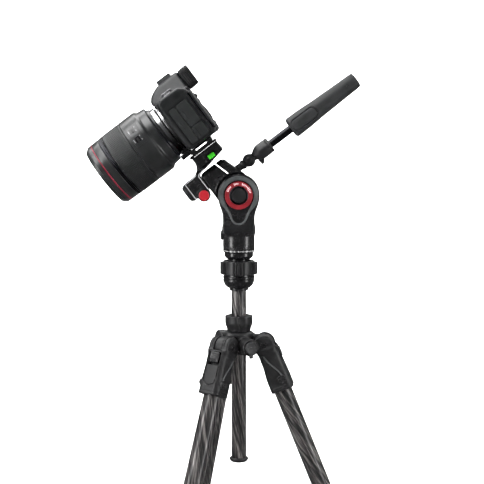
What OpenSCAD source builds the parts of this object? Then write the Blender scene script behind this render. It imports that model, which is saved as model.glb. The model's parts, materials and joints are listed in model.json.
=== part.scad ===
// Mirrorless camera on a travel tripod with a three-way fluid head.
// Millimetres. +Z is up, the floor is z = 0 and the centre column is the Z axis.
// The lens looks towards -X and the pan handle points towards +X.
// Everything above the tilt axis is drawn in a level frame (u = +X backwards, y, w = +Z up)
// with its origin on the tilt axis, and then tipped nose-down as one.

/* [Pose] */
// Nose-down angle of the camera
nose_down = 37; // [0:1:40]
// Angle of each leg from the vertical
spread = 22; // [18:1:24]
// Height of the tilt axis above the leg pivots
tilt_over_pivot = 198; // [190:1:220]

/* [Legs] */
// Compass angle of the right, front and back legs
leg_azimuth = [-5, -125, 115]; // [-180:1:180]
// Distance of a leg pivot from the centre column's axis
pivot_r = 34; // [33:1:36]
// Outer radius of the upper leg tube
upper_r = 12.3; // [12:0.05:12.4]
// Outer radius of the middle leg tube
middle_r = 10.5; // [10.3:0.05:10.6]
// Outer radius of the lower leg tube
lower_r = 8.7; // [8.5:0.05:8.8]
// Thickness of the carbon tube wall
tube_wall = 1.2; // [1:0.05:1.25]
// Distance along the leg from the pivot to the upper tube's lower end
upper_end = 300; // [280:5:320]
// Radius of the rubber foot's ball
foot_r = 12; // [11:0.5:13]

/* [Column] */
// Outer radius of the centre column
column_r = 10; // [9.8:0.1:10.2]
// How far the column reaches below the tilt axis
column_bottom = 353.5; // [300:0.5:380]
// Radius of the twist collar that locks the column
collar_r = 18.8; // [17:0.1:19]

/* [Head] */
// Radius of the head's cylindrical base
base_r = 21.1; // [20:0.1:22]
// Radius of the round cheeks about the tilt axis
cheek_r = 27.5; // [26:0.5:28]
// Half the distance between the cheeks' outer faces
cheek_y = 15.5; // [14:0.5:15.5]
// Radius of the red drag dial
dial_r = 18.4; // [17:0.1:18.5]
// Radius of the levelling half ball
ball_r = 17; // [16.5:0.1:17.2]
// Height of the roll axis above the tilt axis
roll_w = 41; // [40.5:0.1:41.5]
// Radius of the roll housing
roll_r = 11; // [10:0.1:11]

/* [Handle] */
// Height of the handle's axis above the tilt axis
handle_w = 28.1; // [27:0.1:29]
// Distance behind the tilt axis of the handle's fold joint
knuckle_u = 37.8; // [37:0.1:39]
// Distance behind the tilt axis of the grip's rear end
grip_end = 213; // [200:1:230]

/* [Camera] */
// Height of the lens axis above the tilt axis
lens_w = 124.2; // [123.5:0.1:125]
// Half the camera's width on its port side
port_side = 56; // [55:0.5:58]
// Half the camera's width on its grip side
grip_side = 80; // [78:0.5:82]
// Front face of the camera body
body_front = -15; // [-16:0.5:-14]
// Rear face of the camera body
body_rear = 32.4; // [32:0.1:34]
// Underside of the camera body
body_low = 84; // [83:0.5:85]
// Largest radius of the lens
lens_r = 44.9; // [44:0.1:46]
// Front end of the lens
lens_front = -126.3; // [-132:0.1:-126]

/* [Hidden] */

$fn = 64;
fit = 0.05;   // radial clearance of a pin or shaft
gap = 0.3;    // clearance between surfaces that move past each other

// Legs, measured along the leg from its pivot
shoulder_end = 65.5;
shoulder_in = 12.8;
shoulder_out = 15.9;
shoulder_y = 15.2;
cuff_start = 36;
cuff_in = 15;
cuff_out = 16.6;
cuff_y = 16;
knuckle_r = 13.9;
lug_y = 6;
pin_r = 4;
socket_depth = 21;
upper_lock_start = upper_end - 8;
upper_lock_end = upper_end + 18;
upper_lock_r = 16;
middle_start = 70;
middle_end = upper_end + 28;
lower_lock_start = upper_lock_end + 2;
lower_lock_end = lower_lock_start + 24;
lower_lock_r = 14.2;
lower_start = 90;
lower_end = lower_lock_end + 16;
foot_start = lower_lock_end + 4;
foot_centre = lower_lock_end + 22;
foot_flat = 0.8;
pivot_z = foot_centre * cos(spread) + foot_r - foot_flat;
tilt_z = pivot_z + tilt_over_pivot;

// Selector button on the outer face of each shoulder
selector_y = 7;
selector_top = -10;
selector_bottom = -24;
selector_face = 17.4;
selector_back = 11.6;
selector_travel = 2.5;

// Spider, measured from the leg pivots' height
spider_top = 16.8;
spider_bottom = -13;
hub_r = 16.5;
lug_r = 12.9;
fork_room_r = 19.2;
boss_azimuth = -65;
boss_r = 12.3;
boss_face = 38;
plug_r = 9.8;

// Column and head, measured from the tilt axis
collar_top = -160.2;
collar_bottom = -181;
flange_bottom = -126.4;
bowl_bottom = -122.4;
bowl_top = -107;
ring_top = -86.8;
ring_bottom = -105;
ring_r = 20.6;
lobe_out = 24.8;
lobe_count = 5;
ball_z = -98;
neck_r = 13.8;
base_low = -84.2;
base_top = -71;
strip_low = -75.4;
stem_shoulder = -43;
clevis_y = 8;
clevis_floor = -29;
axle_r = 6;
pan_spindle_r = 6;
pan_spindle_top = -58;
knob_z = -53.2;
knob_r = 6.7;

// Level frame: roll stage, platform and quick release
block_y = 7.6;
box_front = -49;
box_rear = -26;
box_y = 12;
box_low = 28.6;
box_top = 54.3;
axle_end = -48;
roll_axle_r = 5;
badge_u = -36.4;
badge_w = 27.1;
badge_r = 8.5;
platform_y = 22;
platform_low = 57.2;
platform_top = 74.3;
jaw_top = 78;
jaw_front = -21.8;
jaw_rear = 19.8;
plate_low = 74.6;
plate_front = -17.4;
plate_rear = 16.6;
plate_y = 24;
screw_u = 12;
screw_r = 3.1;
screw_top = body_low + 5;
lever_u = 14;
lever_y = 26.6;

// Camera
shoulder_w = 146;
top_w = 158.2;
screen_u = 29.9;
screen_half = 2.4;
screen_hinge_y = -51.5;
screen_end_y = 30;
screen_low = 90;
screen_high = 145;
mount_r = 34;
throat_r = 27;
ring_groove_r = 40.5;
cover_depth = 1.4;

// ---------- helpers ----------

// Rectangle with round corners, in exact arcs
module rounded_rect(x0, x1, y0, y1, r) {
  translate([x0 + r, y0]) square([x1 - x0 - 2 * r, y1 - y0]);
  translate([x0, y0 + r]) square([x1 - x0, y1 - y0 - 2 * r]);
  for (x = [x0 + r, x1 - r], y = [y0 + r, y1 - r]) translate([x, y]) circle(r);
}

// Block from two corners
module block(x0, x1, y0, y1, z0, z1) {
  translate([x0, y0, z0]) cube([x1 - x0, y1 - y0, z1 - z0]);
}

// Cylinder along X, Y or Z between two coordinates
module rod_x(x0, x1, r) { translate([x0, 0, 0]) rotate([0, 90, 0]) cylinder(r = r, h = x1 - x0); }
module rod_y(y0, y1, r) { translate([0, y1, 0]) rotate([90, 0, 0]) cylinder(r = r, h = y1 - y0); }
module rod_z(z0, z1, r) { translate([0, 0, z0]) cylinder(r = r, h = z1 - z0); }

// Outline in X and Z, extruded along Y
module slab_y(y0, y1) { translate([0, y1, 0]) rotate([90, 0, 0]) linear_extrude(y1 - y0) children(); }

// Solid of revolution about the level frame's u axis, from points [u, radius]
module lathe_u(points) {
  rotate([0, 90, 0]) rotate_extrude($fn = 96) polygon([for (p = points) [p[1], p[0]]]);
}

// Frame of one leg: origin at its pivot, +Z up along the leg and +X outwards
module leg_frame(i) {
  rotate([0, 0, leg_azimuth[i]]) translate([pivot_r, 0, pivot_z]) rotate([0, -spread, 0]) children();
}

// Frame of the head: origin on the tilt axis, upright
module head_frame() { translate([0, 0, tilt_z]) children(); }

// Level frame of the tilting parts: origin on the tilt axis, tipped nose-down
module level_frame() { head_frame() rotate([0, -nose_down, 0]) children(); }

// Frame of the lens: origin on the lens axis
module lens_frame() { level_frame() translate([0, 0, lens_w]) children(); }

// ---------- hub ----------

module spider() {
  color("#232427") translate([0, 0, pivot_z]) difference() {
    union() {
      rod_z(spider_bottom, spider_top, hub_r);
      for (a = leg_azimuth) rotate([0, 0, a]) {
        block(0, pivot_r, -lug_y, lug_y, -11, 11);
        translate([pivot_r, 0, 0]) rod_y(-lug_y, lug_y, lug_r);
      }
      rotate([0, 0, boss_azimuth]) translate([0, 0, -1.4]) rod_x(0, boss_face, boss_r);
    }
    rod_z(spider_bottom - 1, spider_top + 1, column_r + fit);
    for (a = leg_azimuth) rotate([0, 0, a]) translate([pivot_r, 0, 0]) {
      rod_y(-20, 20, pin_r);
      // room for the leg's fork beside the boss
      for (s = [-1, 1]) translate([0, s * 11.1, 0]) rod_y(-4.7, 4.7, fork_room_r);
    }
    rotate([0, 0, boss_azimuth]) translate([0, 0, -1.4]) {
      rod_x(boss_face - 3, boss_face + 1, plug_r + 0.4);
      rod_x(boss_face - 14, boss_face, pin_r);
    }
  }
}

module leg_pivot_pins() {
  color("#8a8c90") for (a = leg_azimuth) rotate([0, 0, a]) translate([pivot_r, 0, pivot_z]) {
    rod_y(-shoulder_y - 2, shoulder_y + 2, pin_r);
    for (s = [-1, 1]) translate([0, s * (shoulder_y + 1.2), 0]) rod_y(-0.8, 0.8, 6.4);
  }
}

module accessory_plug() {
  color("#2c2d30") translate([0, 0, pivot_z - 1.4]) rotate([0, 0, boss_azimuth]) {
    rod_x(boss_face - 3, boss_face + 2, plug_r);
    rod_x(boss_face - 13, boss_face - 2, pin_r);
    block(boss_face + 0.2, boss_face + 2, -3, 3, -plug_r - 5.4, -plug_r + 3);
  }
}

// ---------- legs ----------

module leg_shoulder(i) {
  color("#2b2c2f") leg_frame(i) difference() {
    union() {
      rod_y(-shoulder_y, shoulder_y, knuckle_r);
      translate([0, 0, -cuff_start - 2]) linear_extrude(cuff_start - 6)
        rounded_rect(-shoulder_in, shoulder_out, -shoulder_y, shoulder_y, 7);
      translate([0, 0, -shoulder_end]) linear_extrude(shoulder_end - cuff_start)
        rounded_rect(-cuff_in, cuff_out, -cuff_y, cuff_y, 8);
    }
    rod_y(-20, 20, pin_r + fit);
    // fork that straddles the spider's lug and its web
    rod_y(-lug_y - 0.4, lug_y + 0.4, knuckle_r + 1);
    block(-30, 0, -lug_y - 0.4, lug_y + 0.4, -12.4, 20);
    rod_z(-shoulder_end - 1, -socket_depth - 19, upper_r);
    block(selector_back - selector_travel - 0.6, 22, -selector_y - 0.3, selector_y + 0.3,
      selector_bottom - 0.3, selector_top + 0.3);
  }
}

module leg_angle_selector(i) {
  color("#17181a") leg_frame(i) intersection() {
    block(selector_back, selector_face, -selector_y, selector_y, selector_bottom, selector_top);
    rod_y(-10, 10, 26);
  }
}

module leg_upper_tube(i) {
  color("#3a3b3d") leg_frame(i) difference() {
    rod_z(-upper_end, -socket_depth - 19, upper_r);
    rod_z(-upper_end - 1, -socket_depth - 18, upper_r - tube_wall);
  }
}

// Twist lock with grip flutes; it turns on the tube above and squeezes the tube below
module twist_lock(start, end, outer, above_r, above_end, below_r) {
  difference() {
    union() {
      rod_z(-end + 2, -start, outer);
      translate([0, 0, -end]) cylinder(r1 = outer - 2, r2 = outer, h = 2);
    }
    rod_z(-above_end - gap, -start + 1, above_r + gap);
    rod_z(-end - 1, -start, below_r + gap);
    for (a = [0:30:330]) rotate([0, 0, a]) translate([outer + 1.6, 0, 0])
      rod_z(-end + 4, -start - 3, 2.4);
  }
}

module leg_upper_lock(i) {
  color("#1c1d1f") leg_frame(i)
    twist_lock(upper_lock_start, upper_lock_end, upper_lock_r, upper_r, upper_end, middle_r);
}

module leg_middle_tube(i) {
  color("#3a3b3d") leg_frame(i) difference() {
    rod_z(-middle_end, -middle_start, middle_r);
    rod_z(-middle_end - 1, -middle_start + 1, middle_r - tube_wall);
  }
}

module leg_lower_lock(i) {
  color("#1c1d1f") leg_frame(i)
    twist_lock(lower_lock_start, lower_lock_end, lower_lock_r, middle_r, middle_end, lower_r);
}

module leg_lower_tube(i) {
  color("#3a3b3d") leg_frame(i) difference() {
    rod_z(-lower_end, -lower_start, lower_r);
    rod_z(-lower_end - 1, -lower_start + 1, lower_r - tube_wall);
  }
}

// Rubber ball that stands on a small flat, where the floor cuts it
module leg_foot(i) {
  color("#121314") difference() {
    leg_frame(i) difference() {
      union() {
        translate([0, 0, -foot_centre]) sphere(r = foot_r);
        translate([0, 0, -foot_centre]) cylinder(r1 = foot_r, r2 = lower_r + 2.6, h = foot_centre - foot_start);
      }
      rod_z(-lower_end, 0, lower_r);
    }
    translate([-250, -250, -10]) cube([500, 500, 10]);
  }
}

// ---------- centre column ----------

module column_collar() {
  color("#26272a") head_frame() difference() {
    rotate_extrude() polygon([
      [column_r + gap, collar_bottom], [collar_r - 3.8, collar_bottom],
      [collar_r - 0.6, collar_bottom + 5], [collar_r - 1.2, collar_top - 6],
      [collar_r, collar_top - 2], [collar_r - 1, collar_top], [column_r + gap, collar_top]
    ]);
    for (a = [30, 150, 270]) rotate([0, 0, a]) translate([collar_r + 5.2, 0, 0])
      rod_z(collar_bottom + 5, collar_top + 1, 6.5);
  }
}

module centre_column() {
  color("#3a3b3d") head_frame() difference() {
    rod_z(-column_bottom, bowl_bottom - 0.5, column_r);
    rod_z(-column_bottom - 1, bowl_bottom + 1, column_r - 1.5);
  }
}

module column_end_cap() {
  color("#17181a") head_frame() {
    rod_z(-column_bottom - 5.5, -column_bottom, 12.8);
    rod_z(-column_bottom - 1, -column_bottom + 12, column_r - 1.5);
  }
}

// ---------- levelling base ----------

module levelling_bowl() {
  color("#1b1c1e") head_frame() difference() {
    union() {
      rotate_extrude() polygon([
        [0, flange_bottom], [12.8, flange_bottom], [12.8, bowl_bottom], [15.5, bowl_bottom],
        [19, bowl_bottom + 3.4], [base_r, bowl_bottom + 9.4], [base_r, bowl_top], [0, bowl_top]
      ]);
      rod_z(bowl_top - 1, bowl_top + 5.7, 19);
    }
    translate([0, 0, ball_z]) sphere(r = ball_r + 2.2);
    rod_z(ball_z, ball_z + 20, ball_r + 0.4);
    rod_z(flange_bottom - 1, bowl_bottom - 0.5, column_r);
  }
}

module levelling_ring() {
  color("#222326") head_frame() difference() {
    union() {
      rod_z(ring_bottom, ring_top - 1, ring_r);
      rod_z(ring_top - 1.2, ring_top, ring_r - 1.2);
      for (i = [0:lobe_count - 1]) rotate([0, 0, -90 + i * 360 / lobe_count])
        intersection() {
          translate([0, 0, ring_bottom]) linear_extrude(ring_top - ring_bottom - 0.6)
            rounded_rect(ring_r - 5, lobe_out, -5.5, 5.5, 2);
          rod_z(ring_bottom, ring_top, lobe_out);
        }
    }
    rod_z(ball_z + 6, ring_top + 1, ball_r - 0.7);
    rod_z(ring_bottom - 1, ball_z + 6.1, ball_r + 0.4);
    rod_z(ring_bottom - 1, bowl_top + 6, 19.3);
  }
}

module levelling_cup() {
  color("#9a9ca0") head_frame() difference() {
    intersection() {
      translate([0, 0, ball_z]) sphere(r = ball_r + 1.9);
      rod_z(ball_z - 16, ball_z - 10, 20);
    }
    translate([0, 0, ball_z]) sphere(r = ball_r + 0.3);
    rod_z(ball_z - 20, ball_z, 6);
  }
}

module head_base() {
  color("#1b1c1e") head_frame() {
    intersection() {
      translate([0, 0, ball_z]) sphere(r = ball_r);
      rod_z(ball_z - 13, ball_z + 10.2, ball_r + 1);
    }
    rod_z(ball_z + 5, base_low + 1, neck_r - 0.2);
    rotate_extrude() polygon([
      [0, base_low], [17.4, base_low], [19, base_low + 3], [19, strip_low], [base_r, strip_low],
      [base_r, base_top - 0.3], [0, base_top - 0.3]
    ]);
    rod_z(base_top - 1, pan_spindle_top, pan_spindle_r);
  }
}

// ---------- head ----------

module stem_outline() {
  circle(cheek_r);
  polygon([
    [-24.6, -12.4], [-22, -22], [-20.9, -32], [-base_r, stem_shoulder - 1],
    [base_r, stem_shoulder - 1], [20.9, -32], [22, -22], [24.6, -12.4]
  ]);
}

module stem_side() {
  polygon([
    [-base_r, stem_shoulder - 1], [base_r, stem_shoulder - 1], [base_r, stem_shoulder],
    [cheek_y, -24], [cheek_y, cheek_r], [-cheek_y, cheek_r], [-cheek_y, -24],
    [-base_r, stem_shoulder]
  ]);
}

module head_stem() {
  color("#1f2022") head_frame() difference() {
    union() {
      rod_z(base_top, stem_shoulder, base_r);
      intersection() {
        slab_y(-base_r, base_r) stem_outline();
        rotate([0, 0, 90]) slab_y(-30, 30) stem_side();
      }
    }
    rod_y(-clevis_y, clevis_y, cheek_r + 0.8);
    block(-40, 40, -clevis_y, clevis_y, clevis_floor, 40);
    rod_y(-30, 30, axle_r);
    rod_z(base_top - 1, pan_spindle_top + 1, pan_spindle_r + fit);
    translate([0, 0, knob_z]) rod_x(-30, -16.8, knob_r + 0.4);
    translate([0, 0, knob_z]) rod_x(-30, -8, 3 + fit);
  }
}

module pan_lock_knob() {
  color("#2a2b2e") head_frame() translate([0, 0, knob_z]) {
    rod_x(-24, -17.2, knob_r);
    rod_x(-18, -9, 3);
  }
}

module tilt_axle() {
  color("#2a2b31") head_frame() {
    rod_y(-cheek_y - 3.2, cheek_y + 3.2, axle_r);
    rod_y(-cheek_y - 3.6, -cheek_y, 12);
    rod_y(cheek_y, cheek_y + 3.6, 12);
    rod_y(-cheek_y - 4.4, -cheek_y - 3, 9.4);
  }
}

module tilt_dial() {
  color("#a00d22") head_frame() difference() {
    rod_y(-cheek_y - 2.6, -cheek_y - 0.2, dial_r);
    rod_y(-cheek_y - 4, -cheek_y + 1, 12 + gap);
  }
}

module tilt_block_outline() {
  circle(cheek_r - 1.5);
  polygon([
    [-25.2, 30], [-25.2, roll_w + 8], [-22, roll_w + roll_r], [9.4, roll_w + roll_r],
    [12, roll_w + 8.6], [21.5, 18], [25.9, 1.3], [0, 0], [-25.8, 3]
  ]);
}

// Round about the roll axis above, straight below
module roll_housing(low) {
  translate([0, 0, roll_w]) rod_x(-30, 30, roll_r);
  block(-30, 30, -roll_r, roll_r, low, roll_w);
}

module tilt_block() {
  color("#1d1d20") level_frame() difference() {
    union() {
      intersection() {
        slab_y(-block_y, block_y) tilt_block_outline();
        roll_housing(-30);
      }
      intersection() {
        slab_y(-roll_r, roll_r) difference() {
          tilt_block_outline();
          circle(cheek_r + 1.2);
        }
        roll_housing(20);
      }
      translate([0, 0, roll_w]) rod_x(axle_end, -24, roll_axle_r);
    }
    rod_y(-30, 30, axle_r + fit);
    slab_y(-30, 30) polygon([[-3.8, 60], [-1.9, 60], [6.4, 31.4], [5, 30.6], [4.5, 31]]);
    translate([-6.5, 0, 31.7]) rod_y(-12, -6, 1.7);
    translate([0, 0, handle_w]) rod_x(15, 40, 5);
  }
}

// ---------- roll stage and quick release ----------

module bracket_outline() {
  polygon([
    [box_front, box_low], [box_rear, box_low], [box_rear, 49.5], [-21, 52.5], [-8, 54.6],
    [5, 57.4], [19, 59.9], [18.5, platform_top], [jaw_rear, platform_top + 0.4],
    [jaw_rear, jaw_top], [jaw_front, jaw_top], [jaw_front, platform_top + 0.4],
    [-19.5, platform_top], [-20.5, 64], [-25, 57.5], [-31, 54.8], [-36, box_top], [box_front, box_top]
  ]);
  translate([badge_u, badge_w]) circle(badge_r);
}

// Narrow below the platform so that the stage can roll past the cheeks
module bracket_section() {
  polygon([
    [-box_y - 0.4, 10], [box_y + 0.4, 10], [box_y + 0.4, platform_low], [platform_y, platform_low],
    [platform_y, jaw_top + 1], [-platform_y, jaw_top + 1], [-platform_y, platform_low],
    [-box_y - 0.4, platform_low]
  ]);
}

module roll_bracket() {
  color("#26272a") level_frame() difference() {
    union() {
      intersection() {
        slab_y(-platform_y, platform_y) bracket_outline();
        rotate([0, 0, 90]) slab_y(-60, 60) bracket_section();
      }
      // shelf and pin of the release lever
      translate([lever_u, lever_y, 0]) rod_z(60, 62, 5);
      block(lever_u - 5, lever_u + 5, platform_y - 4, lever_y, 60, 62);
      translate([lever_u, lever_y, 0]) rod_z(61, 70.5, 2.2);
    }
    translate([0, 0, roll_w]) rod_x(-60, box_rear + 10, roll_axle_r + fit);
    translate([0, 0, roll_w]) rod_x(box_rear, 40, roll_r + 0.35);
    block(box_rear, 40, -30, 30, roll_w + 4, roll_w + roll_r + 0.35);
    // dovetail channel of the plate
    slab_y(-40, 40) polygon([
      [-18.6, plate_low - 0.1], [17.8, plate_low - 0.1], [15.1, jaw_top + 1], [-15.9, jaw_top + 1]
    ]);
    // seat of the vial
    translate([-2.6, -platform_y + 1.2, 62.8]) rod_x(0, 11.4, 3.1);
  }
}

module roll_knob() {
  color("#1b1c1e") level_frame() translate([0, 0, roll_w]) {
    rod_x(box_front - 6.2, box_front - 3.2, 11.4);
    rod_x(box_front - 3.4, box_front - gap, 12.6);
  }
}

module quick_release_lever() {
  color("#1b1c1e") level_frame() difference() {
    union() {
      translate([lever_u, lever_y, 0]) rod_z(62.3, 70, 4.2);
      translate([lever_u, lever_y, 62.3]) linear_extrude(7.7)
        polygon([[0, -2.2], [0, 3.2], [-20, 3.6], [-30, 7], [-32, 5], [-22, -0.6]]);
    }
    translate([lever_u, lever_y, 0]) rod_z(60, 72, 2.2 + fit);
  }
}

module quick_release_plate() {
  color("#2a2b2e") level_frame() difference() {
    union() {
      slab_y(-plate_y, plate_y) polygon([
        [-18.1, plate_low + 0.1], [17.3, plate_low + 0.1], [14.7, jaw_top + 0.3],
        [plate_rear, jaw_top + 0.3], [plate_rear, body_low], [plate_front, body_low],
        [plate_front, jaw_top + 0.3], [-15.5, jaw_top + 0.3]
      ]);
      translate([screw_u, 0, 0]) rod_z(body_low - 1, screw_top, screw_r);
      // stop in front of the camera, under the lens mount
      block(-30.5, plate_front + 1, -11, 11, 80.2, 83);
      block(-24, plate_front - 0.4, -11, 11, 82, 88);
    }
    slab_y(-30, 30) rounded_rect(-10.6, 8.6, 79.8, 81.5, 0.4);
  }
}

module bubble_level() {
  color("#39c02a") level_frame() translate([-2.6, -platform_y + 1.2, 62.8]) rod_x(0, 11.4, 3.1);
}

// ---------- handle ----------

module handle_socket() {
  color("#232427") level_frame() translate([0, 0, handle_w]) {
    difference() {
      union() {
        rod_x(15, 31, 5);
        translate([knuckle_u, 0, 0]) rod_y(-6.6, 6.6, 8.5);
        block(30, knuckle_u, -6.6, 6.6, -4.6, 4.6);
      }
      translate([knuckle_u, 0, 0]) rod_y(-3.3, 3.3, 8.4);
      block(knuckle_u - 2, knuckle_u + 12, -3.3, 3.3, -12, 12);
    }
    translate([knuckle_u, 0, 0]) rod_y(-7.6, 7.6, 3.5);
  }
}

module handle_collar() {
  color("#26272a") level_frame() translate([0, 0, handle_w]) difference() {
    union() {
      translate([knuckle_u, 0, 0]) rod_y(-3, 3, 8);
      block(knuckle_u, 50, -3, 3, -5.4, 5.4);
      lathe_u([[47.2, 0], [47.2, 5], [48.6, 8.6], [52, 10.8], [56, 11.3], [73, 11.3], [73, 0]]);
      slab_y(-3, 3) polygon([[48.6, -9], [49.6, -15.4], [52.4, -15.4], [55, -9]]);
    }
    translate([knuckle_u, 0, 0]) rod_y(-10, 10, 3.5 + fit);
    rod_x(58, 74, 5.35);
  }
}

module handle_rod() {
  color("#17181a") level_frame() translate([0, 0, handle_w]) rod_x(58, 170, 5.35);
}

module handle_grip() {
  color("#35363a") level_frame() translate([0, 0, handle_w]) difference() {
    lathe_u([
      [106, 0], [106, 12.2], [109, 14.35], [150, 12.6], [190, 11.2], [grip_end - 2.5, 10.6],
      [grip_end, 8.6], [grip_end, 0]
    ]);
    rod_x(105, 171, 5.35 + fit);
  }
}

// ---------- camera ----------

module body_section() {
  rounded_rect(body_front, body_rear, -port_side, grip_side, 9);
}

module grip_section() {
  hull() {
    translate([-22, 64]) circle(12.5, $fn = 32);
    translate([-12, 46]) circle(5, $fn = 32);
    translate([-8, 70]) circle(9.8, $fn = 32);
  }
}

module camera_body() {
  color("#202224") level_frame() difference() {
    union() {
      translate([0, 0, body_low]) linear_extrude(shoulder_w - body_low) body_section();
      translate([0, 0, body_low + 3]) linear_extrude(shoulder_w - body_low - 3) grip_section();
    }
    // throat behind the mount
    translate([0, 0, lens_w]) rod_x(body_front - 1, body_front + 12, throat_r);
    // bay of the swing-out screen
    block(screen_u - screen_half - gap, 40, -port_side - 1, screen_end_y + 0.5,
      screen_low - 0.4, screen_high - 0.1);
    translate([screen_u, screen_hinge_y, 0]) rod_z(screen_low - 2.5, shoulder_w + 1, 1.2 + fit);
    translate([screw_u, 0, 0]) rod_z(body_low - 1, screw_top + 0.5, screw_r + 0.1);
    block(-6.5, 22.1, -port_side - 1, -port_side + cover_depth - 0.4, 88.4, 140);
  }
}

// Smooth hump over the finder, drawn with rounded hull children
module hump() {
  hull() {
    for (y = [-9, 9]) {
      translate([-10.5, y, 161.5]) sphere(r = 8.8, $fn = 32);
      translate([5, y, 170]) sphere(r = 8, $fn = 32);
      translate([24, y, 169.5]) sphere(r = 7.4, $fn = 32);
    }
    for (y = [-18, 18]) {
      translate([-6, y, 154]) sphere(r = 6, $fn = 24);
      translate([24, y, 156]) sphere(r = 6, $fn = 24);
    }
  }
}

module camera_top_cover() {
  color("#232527") level_frame() {
    difference() {
      union() {
        translate([0, 0, shoulder_w]) linear_extrude(6) body_section();
        translate([0, 0, shoulder_w + 6]) linear_extrude(top_w - shoulder_w - 6)
          rounded_rect(body_front + 3, body_rear - 4, -port_side + 6, grip_side - 5, 6);
        translate([0, 0, shoulder_w]) linear_extrude(4) grip_section();
        intersection() {
          hump();
          block(-30, body_rear, -30, 30, shoulder_w, 180);
        }
      }
      translate([-24, 64, 0]) rod_z(shoulder_w + 1, shoulder_w + 10, 5 + gap);
      // throat, and the room of the mount under the hump's nose
      translate([0, 0, lens_w]) {
        rod_x(body_front - 1, body_front + 12, throat_r);
        rod_x(body_front - 10, body_front, mount_r + 0.2);
      }
    }
    // accessory shoe: floor and two rails
    block(2, 23, -10.5, 10.5, 176, 178.4);
    for (s = [-1, 1]) {
      block(2, 23, s * 9.9 - 0.7, s * 9.9 + 0.7, 178, 181.8);
      block(2, 23, s * 8.4 - 2.1, s * 8.4 + 2.1, 180.4, 181.8);
    }
  }
}

module eyecup() {
  color("#141516") level_frame() difference() {
    translate([body_rear, 0, 162]) rotate([90, 0, 90]) linear_extrude(14.6)
      rounded_rect(-19, 19, -15.4, 15, 6);
    translate([body_rear + 4, 0, 162]) rotate([90, 0, 90]) linear_extrude(20)
      rounded_rect(-14, 14, -10, 10, 4);
  }
}

module port_covers() {
  color("#2b2d30") level_frame() for (c = [[-6.2, 4.2, 88.7, 139.7], [5, 21.8, 107.1, 139.7], [5, 21.8, 88.7, 106.3]])
    block(c[0], c[1], -port_side - 0.4, -port_side + cover_depth - 0.4, c[2], c[3]);
}

module screen() {
  color("#17181a") level_frame() {
    block(screen_u - screen_half, screen_u + screen_half, screen_hinge_y, screen_end_y,
      screen_low, screen_high - 0.6);
    translate([screen_u, screen_hinge_y, 0]) {
      rod_z(screen_low, screen_high - 0.6, screen_half);
      rod_z(screen_low - 2.2, screen_high, 1.2);
    }
  }
}

module mode_dial() {
  color("#17181a") level_frame() translate([10, 62, 0]) {
    rod_z(top_w + gap, top_w + 6, 10);
    rod_z(top_w + 5, top_w + 7, 8.4);
  }
}

module shutter_button() {
  color("#3a3c40") level_frame() translate([-24, 64, 0]) rod_z(shoulder_w + 3, shoulder_w + 6.2, 5);
}

module lens_mount() {
  color("#c9cbce") lens_frame() difference() {
    rod_x(body_front - 4.4, body_front, mount_r);
    rod_x(body_front - 6, body_front + 1, throat_r);
  }
}

// ---------- lens ----------

module lens_barrel() {
  color("#26272a") lens_frame() difference() {
    lathe_u([
      [lens_front, 0], [lens_front, 39.8], [-124.6, 41.4], [-122, 42.2], [-121.6, 44], [-104.2, 44.6],
      [-104.2, ring_groove_r], [-69.4, ring_groove_r], [-69.4, lens_r], [-45.2, lens_r], [-42.6, 41.6],
      [-32, 40.6], [-29.6, 36.4], [-27.1, 35.4], [-27.1, mount_r], [-21.8, mount_r], [-21.8, 30],
      [body_front - 4.7, 30], [body_front - 4.7, throat_r - gap], [body_front + 4, throat_r - gap],
      [body_front + 4, 0]
    ]);
    lathe_u([[lens_front - 1, 0], [lens_front - 1, 38.5], [lens_front + 6, 38.5], [lens_front + 12, 35.6],
      [-102, 35.6], [-102, 0]]);
    lathe_u([[body_front - 1, 0], [body_front - 1, 19], [body_front + 5, 22], [body_front + 5, 0]]);
  }
}

module focus_ring() {
  color("#202123") lens_frame() difference() {
    rod_x(-97.8, -69.7, lens_r);
    rod_x(-99, -68, ring_groove_r + gap);
    for (a = [0:4:356]) rotate([a, 0, 0]) translate([0, 0, lens_r + 0.2]) rod_x(-94.7, -73.2, 0.6, $fn = 16);
  }
}

module control_ring() {
  color("#2a2b2e") lens_frame() difference() {
    rod_x(-103.9, -98.1, lens_r - 0.3);
    rod_x(-105, -97, ring_groove_r + gap);
  }
}

module front_element() {
  color("#30405a") lens_frame() lathe_u(concat(
    [for (r = [0:5:35]) [-102 - sqrt(80 * 80 - r * r) + 68, r]], [[-104, 35.5], [-102.05, 35.5], [-102.05, 0]]
  ));
}

// ---------- assembly ----------

spider();
leg_pivot_pins();
accessory_plug();
leg_shoulder(0);  // right_leg_shoulder
leg_angle_selector(0);  // right_leg_angle_selector
leg_upper_tube(0);  // right_leg_upper_tube
leg_upper_lock(0);  // right_leg_upper_lock
leg_middle_tube(0);  // right_leg_middle_tube
leg_lower_lock(0);  // right_leg_lower_lock
leg_lower_tube(0);  // right_leg_lower_tube
leg_foot(0);  // right_leg_foot
leg_shoulder(1);  // front_leg_shoulder
leg_angle_selector(1);  // front_leg_angle_selector
leg_upper_tube(1);  // front_leg_upper_tube
leg_upper_lock(1);  // front_leg_upper_lock
leg_middle_tube(1);  // front_leg_middle_tube
leg_lower_lock(1);  // front_leg_lower_lock
leg_lower_tube(1);  // front_leg_lower_tube
leg_foot(1);  // front_leg_foot
leg_shoulder(2);  // back_leg_shoulder
leg_angle_selector(2);  // back_leg_angle_selector
leg_upper_tube(2);  // back_leg_upper_tube
leg_upper_lock(2);  // back_leg_upper_lock
leg_middle_tube(2);  // back_leg_middle_tube
leg_lower_lock(2);  // back_leg_lower_lock
leg_lower_tube(2);  // back_leg_lower_tube
leg_foot(2);  // back_leg_foot
column_collar();
centre_column();
column_end_cap();
levelling_bowl();
levelling_ring();
levelling_cup();
head_base();
head_stem();
pan_lock_knob();
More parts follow.
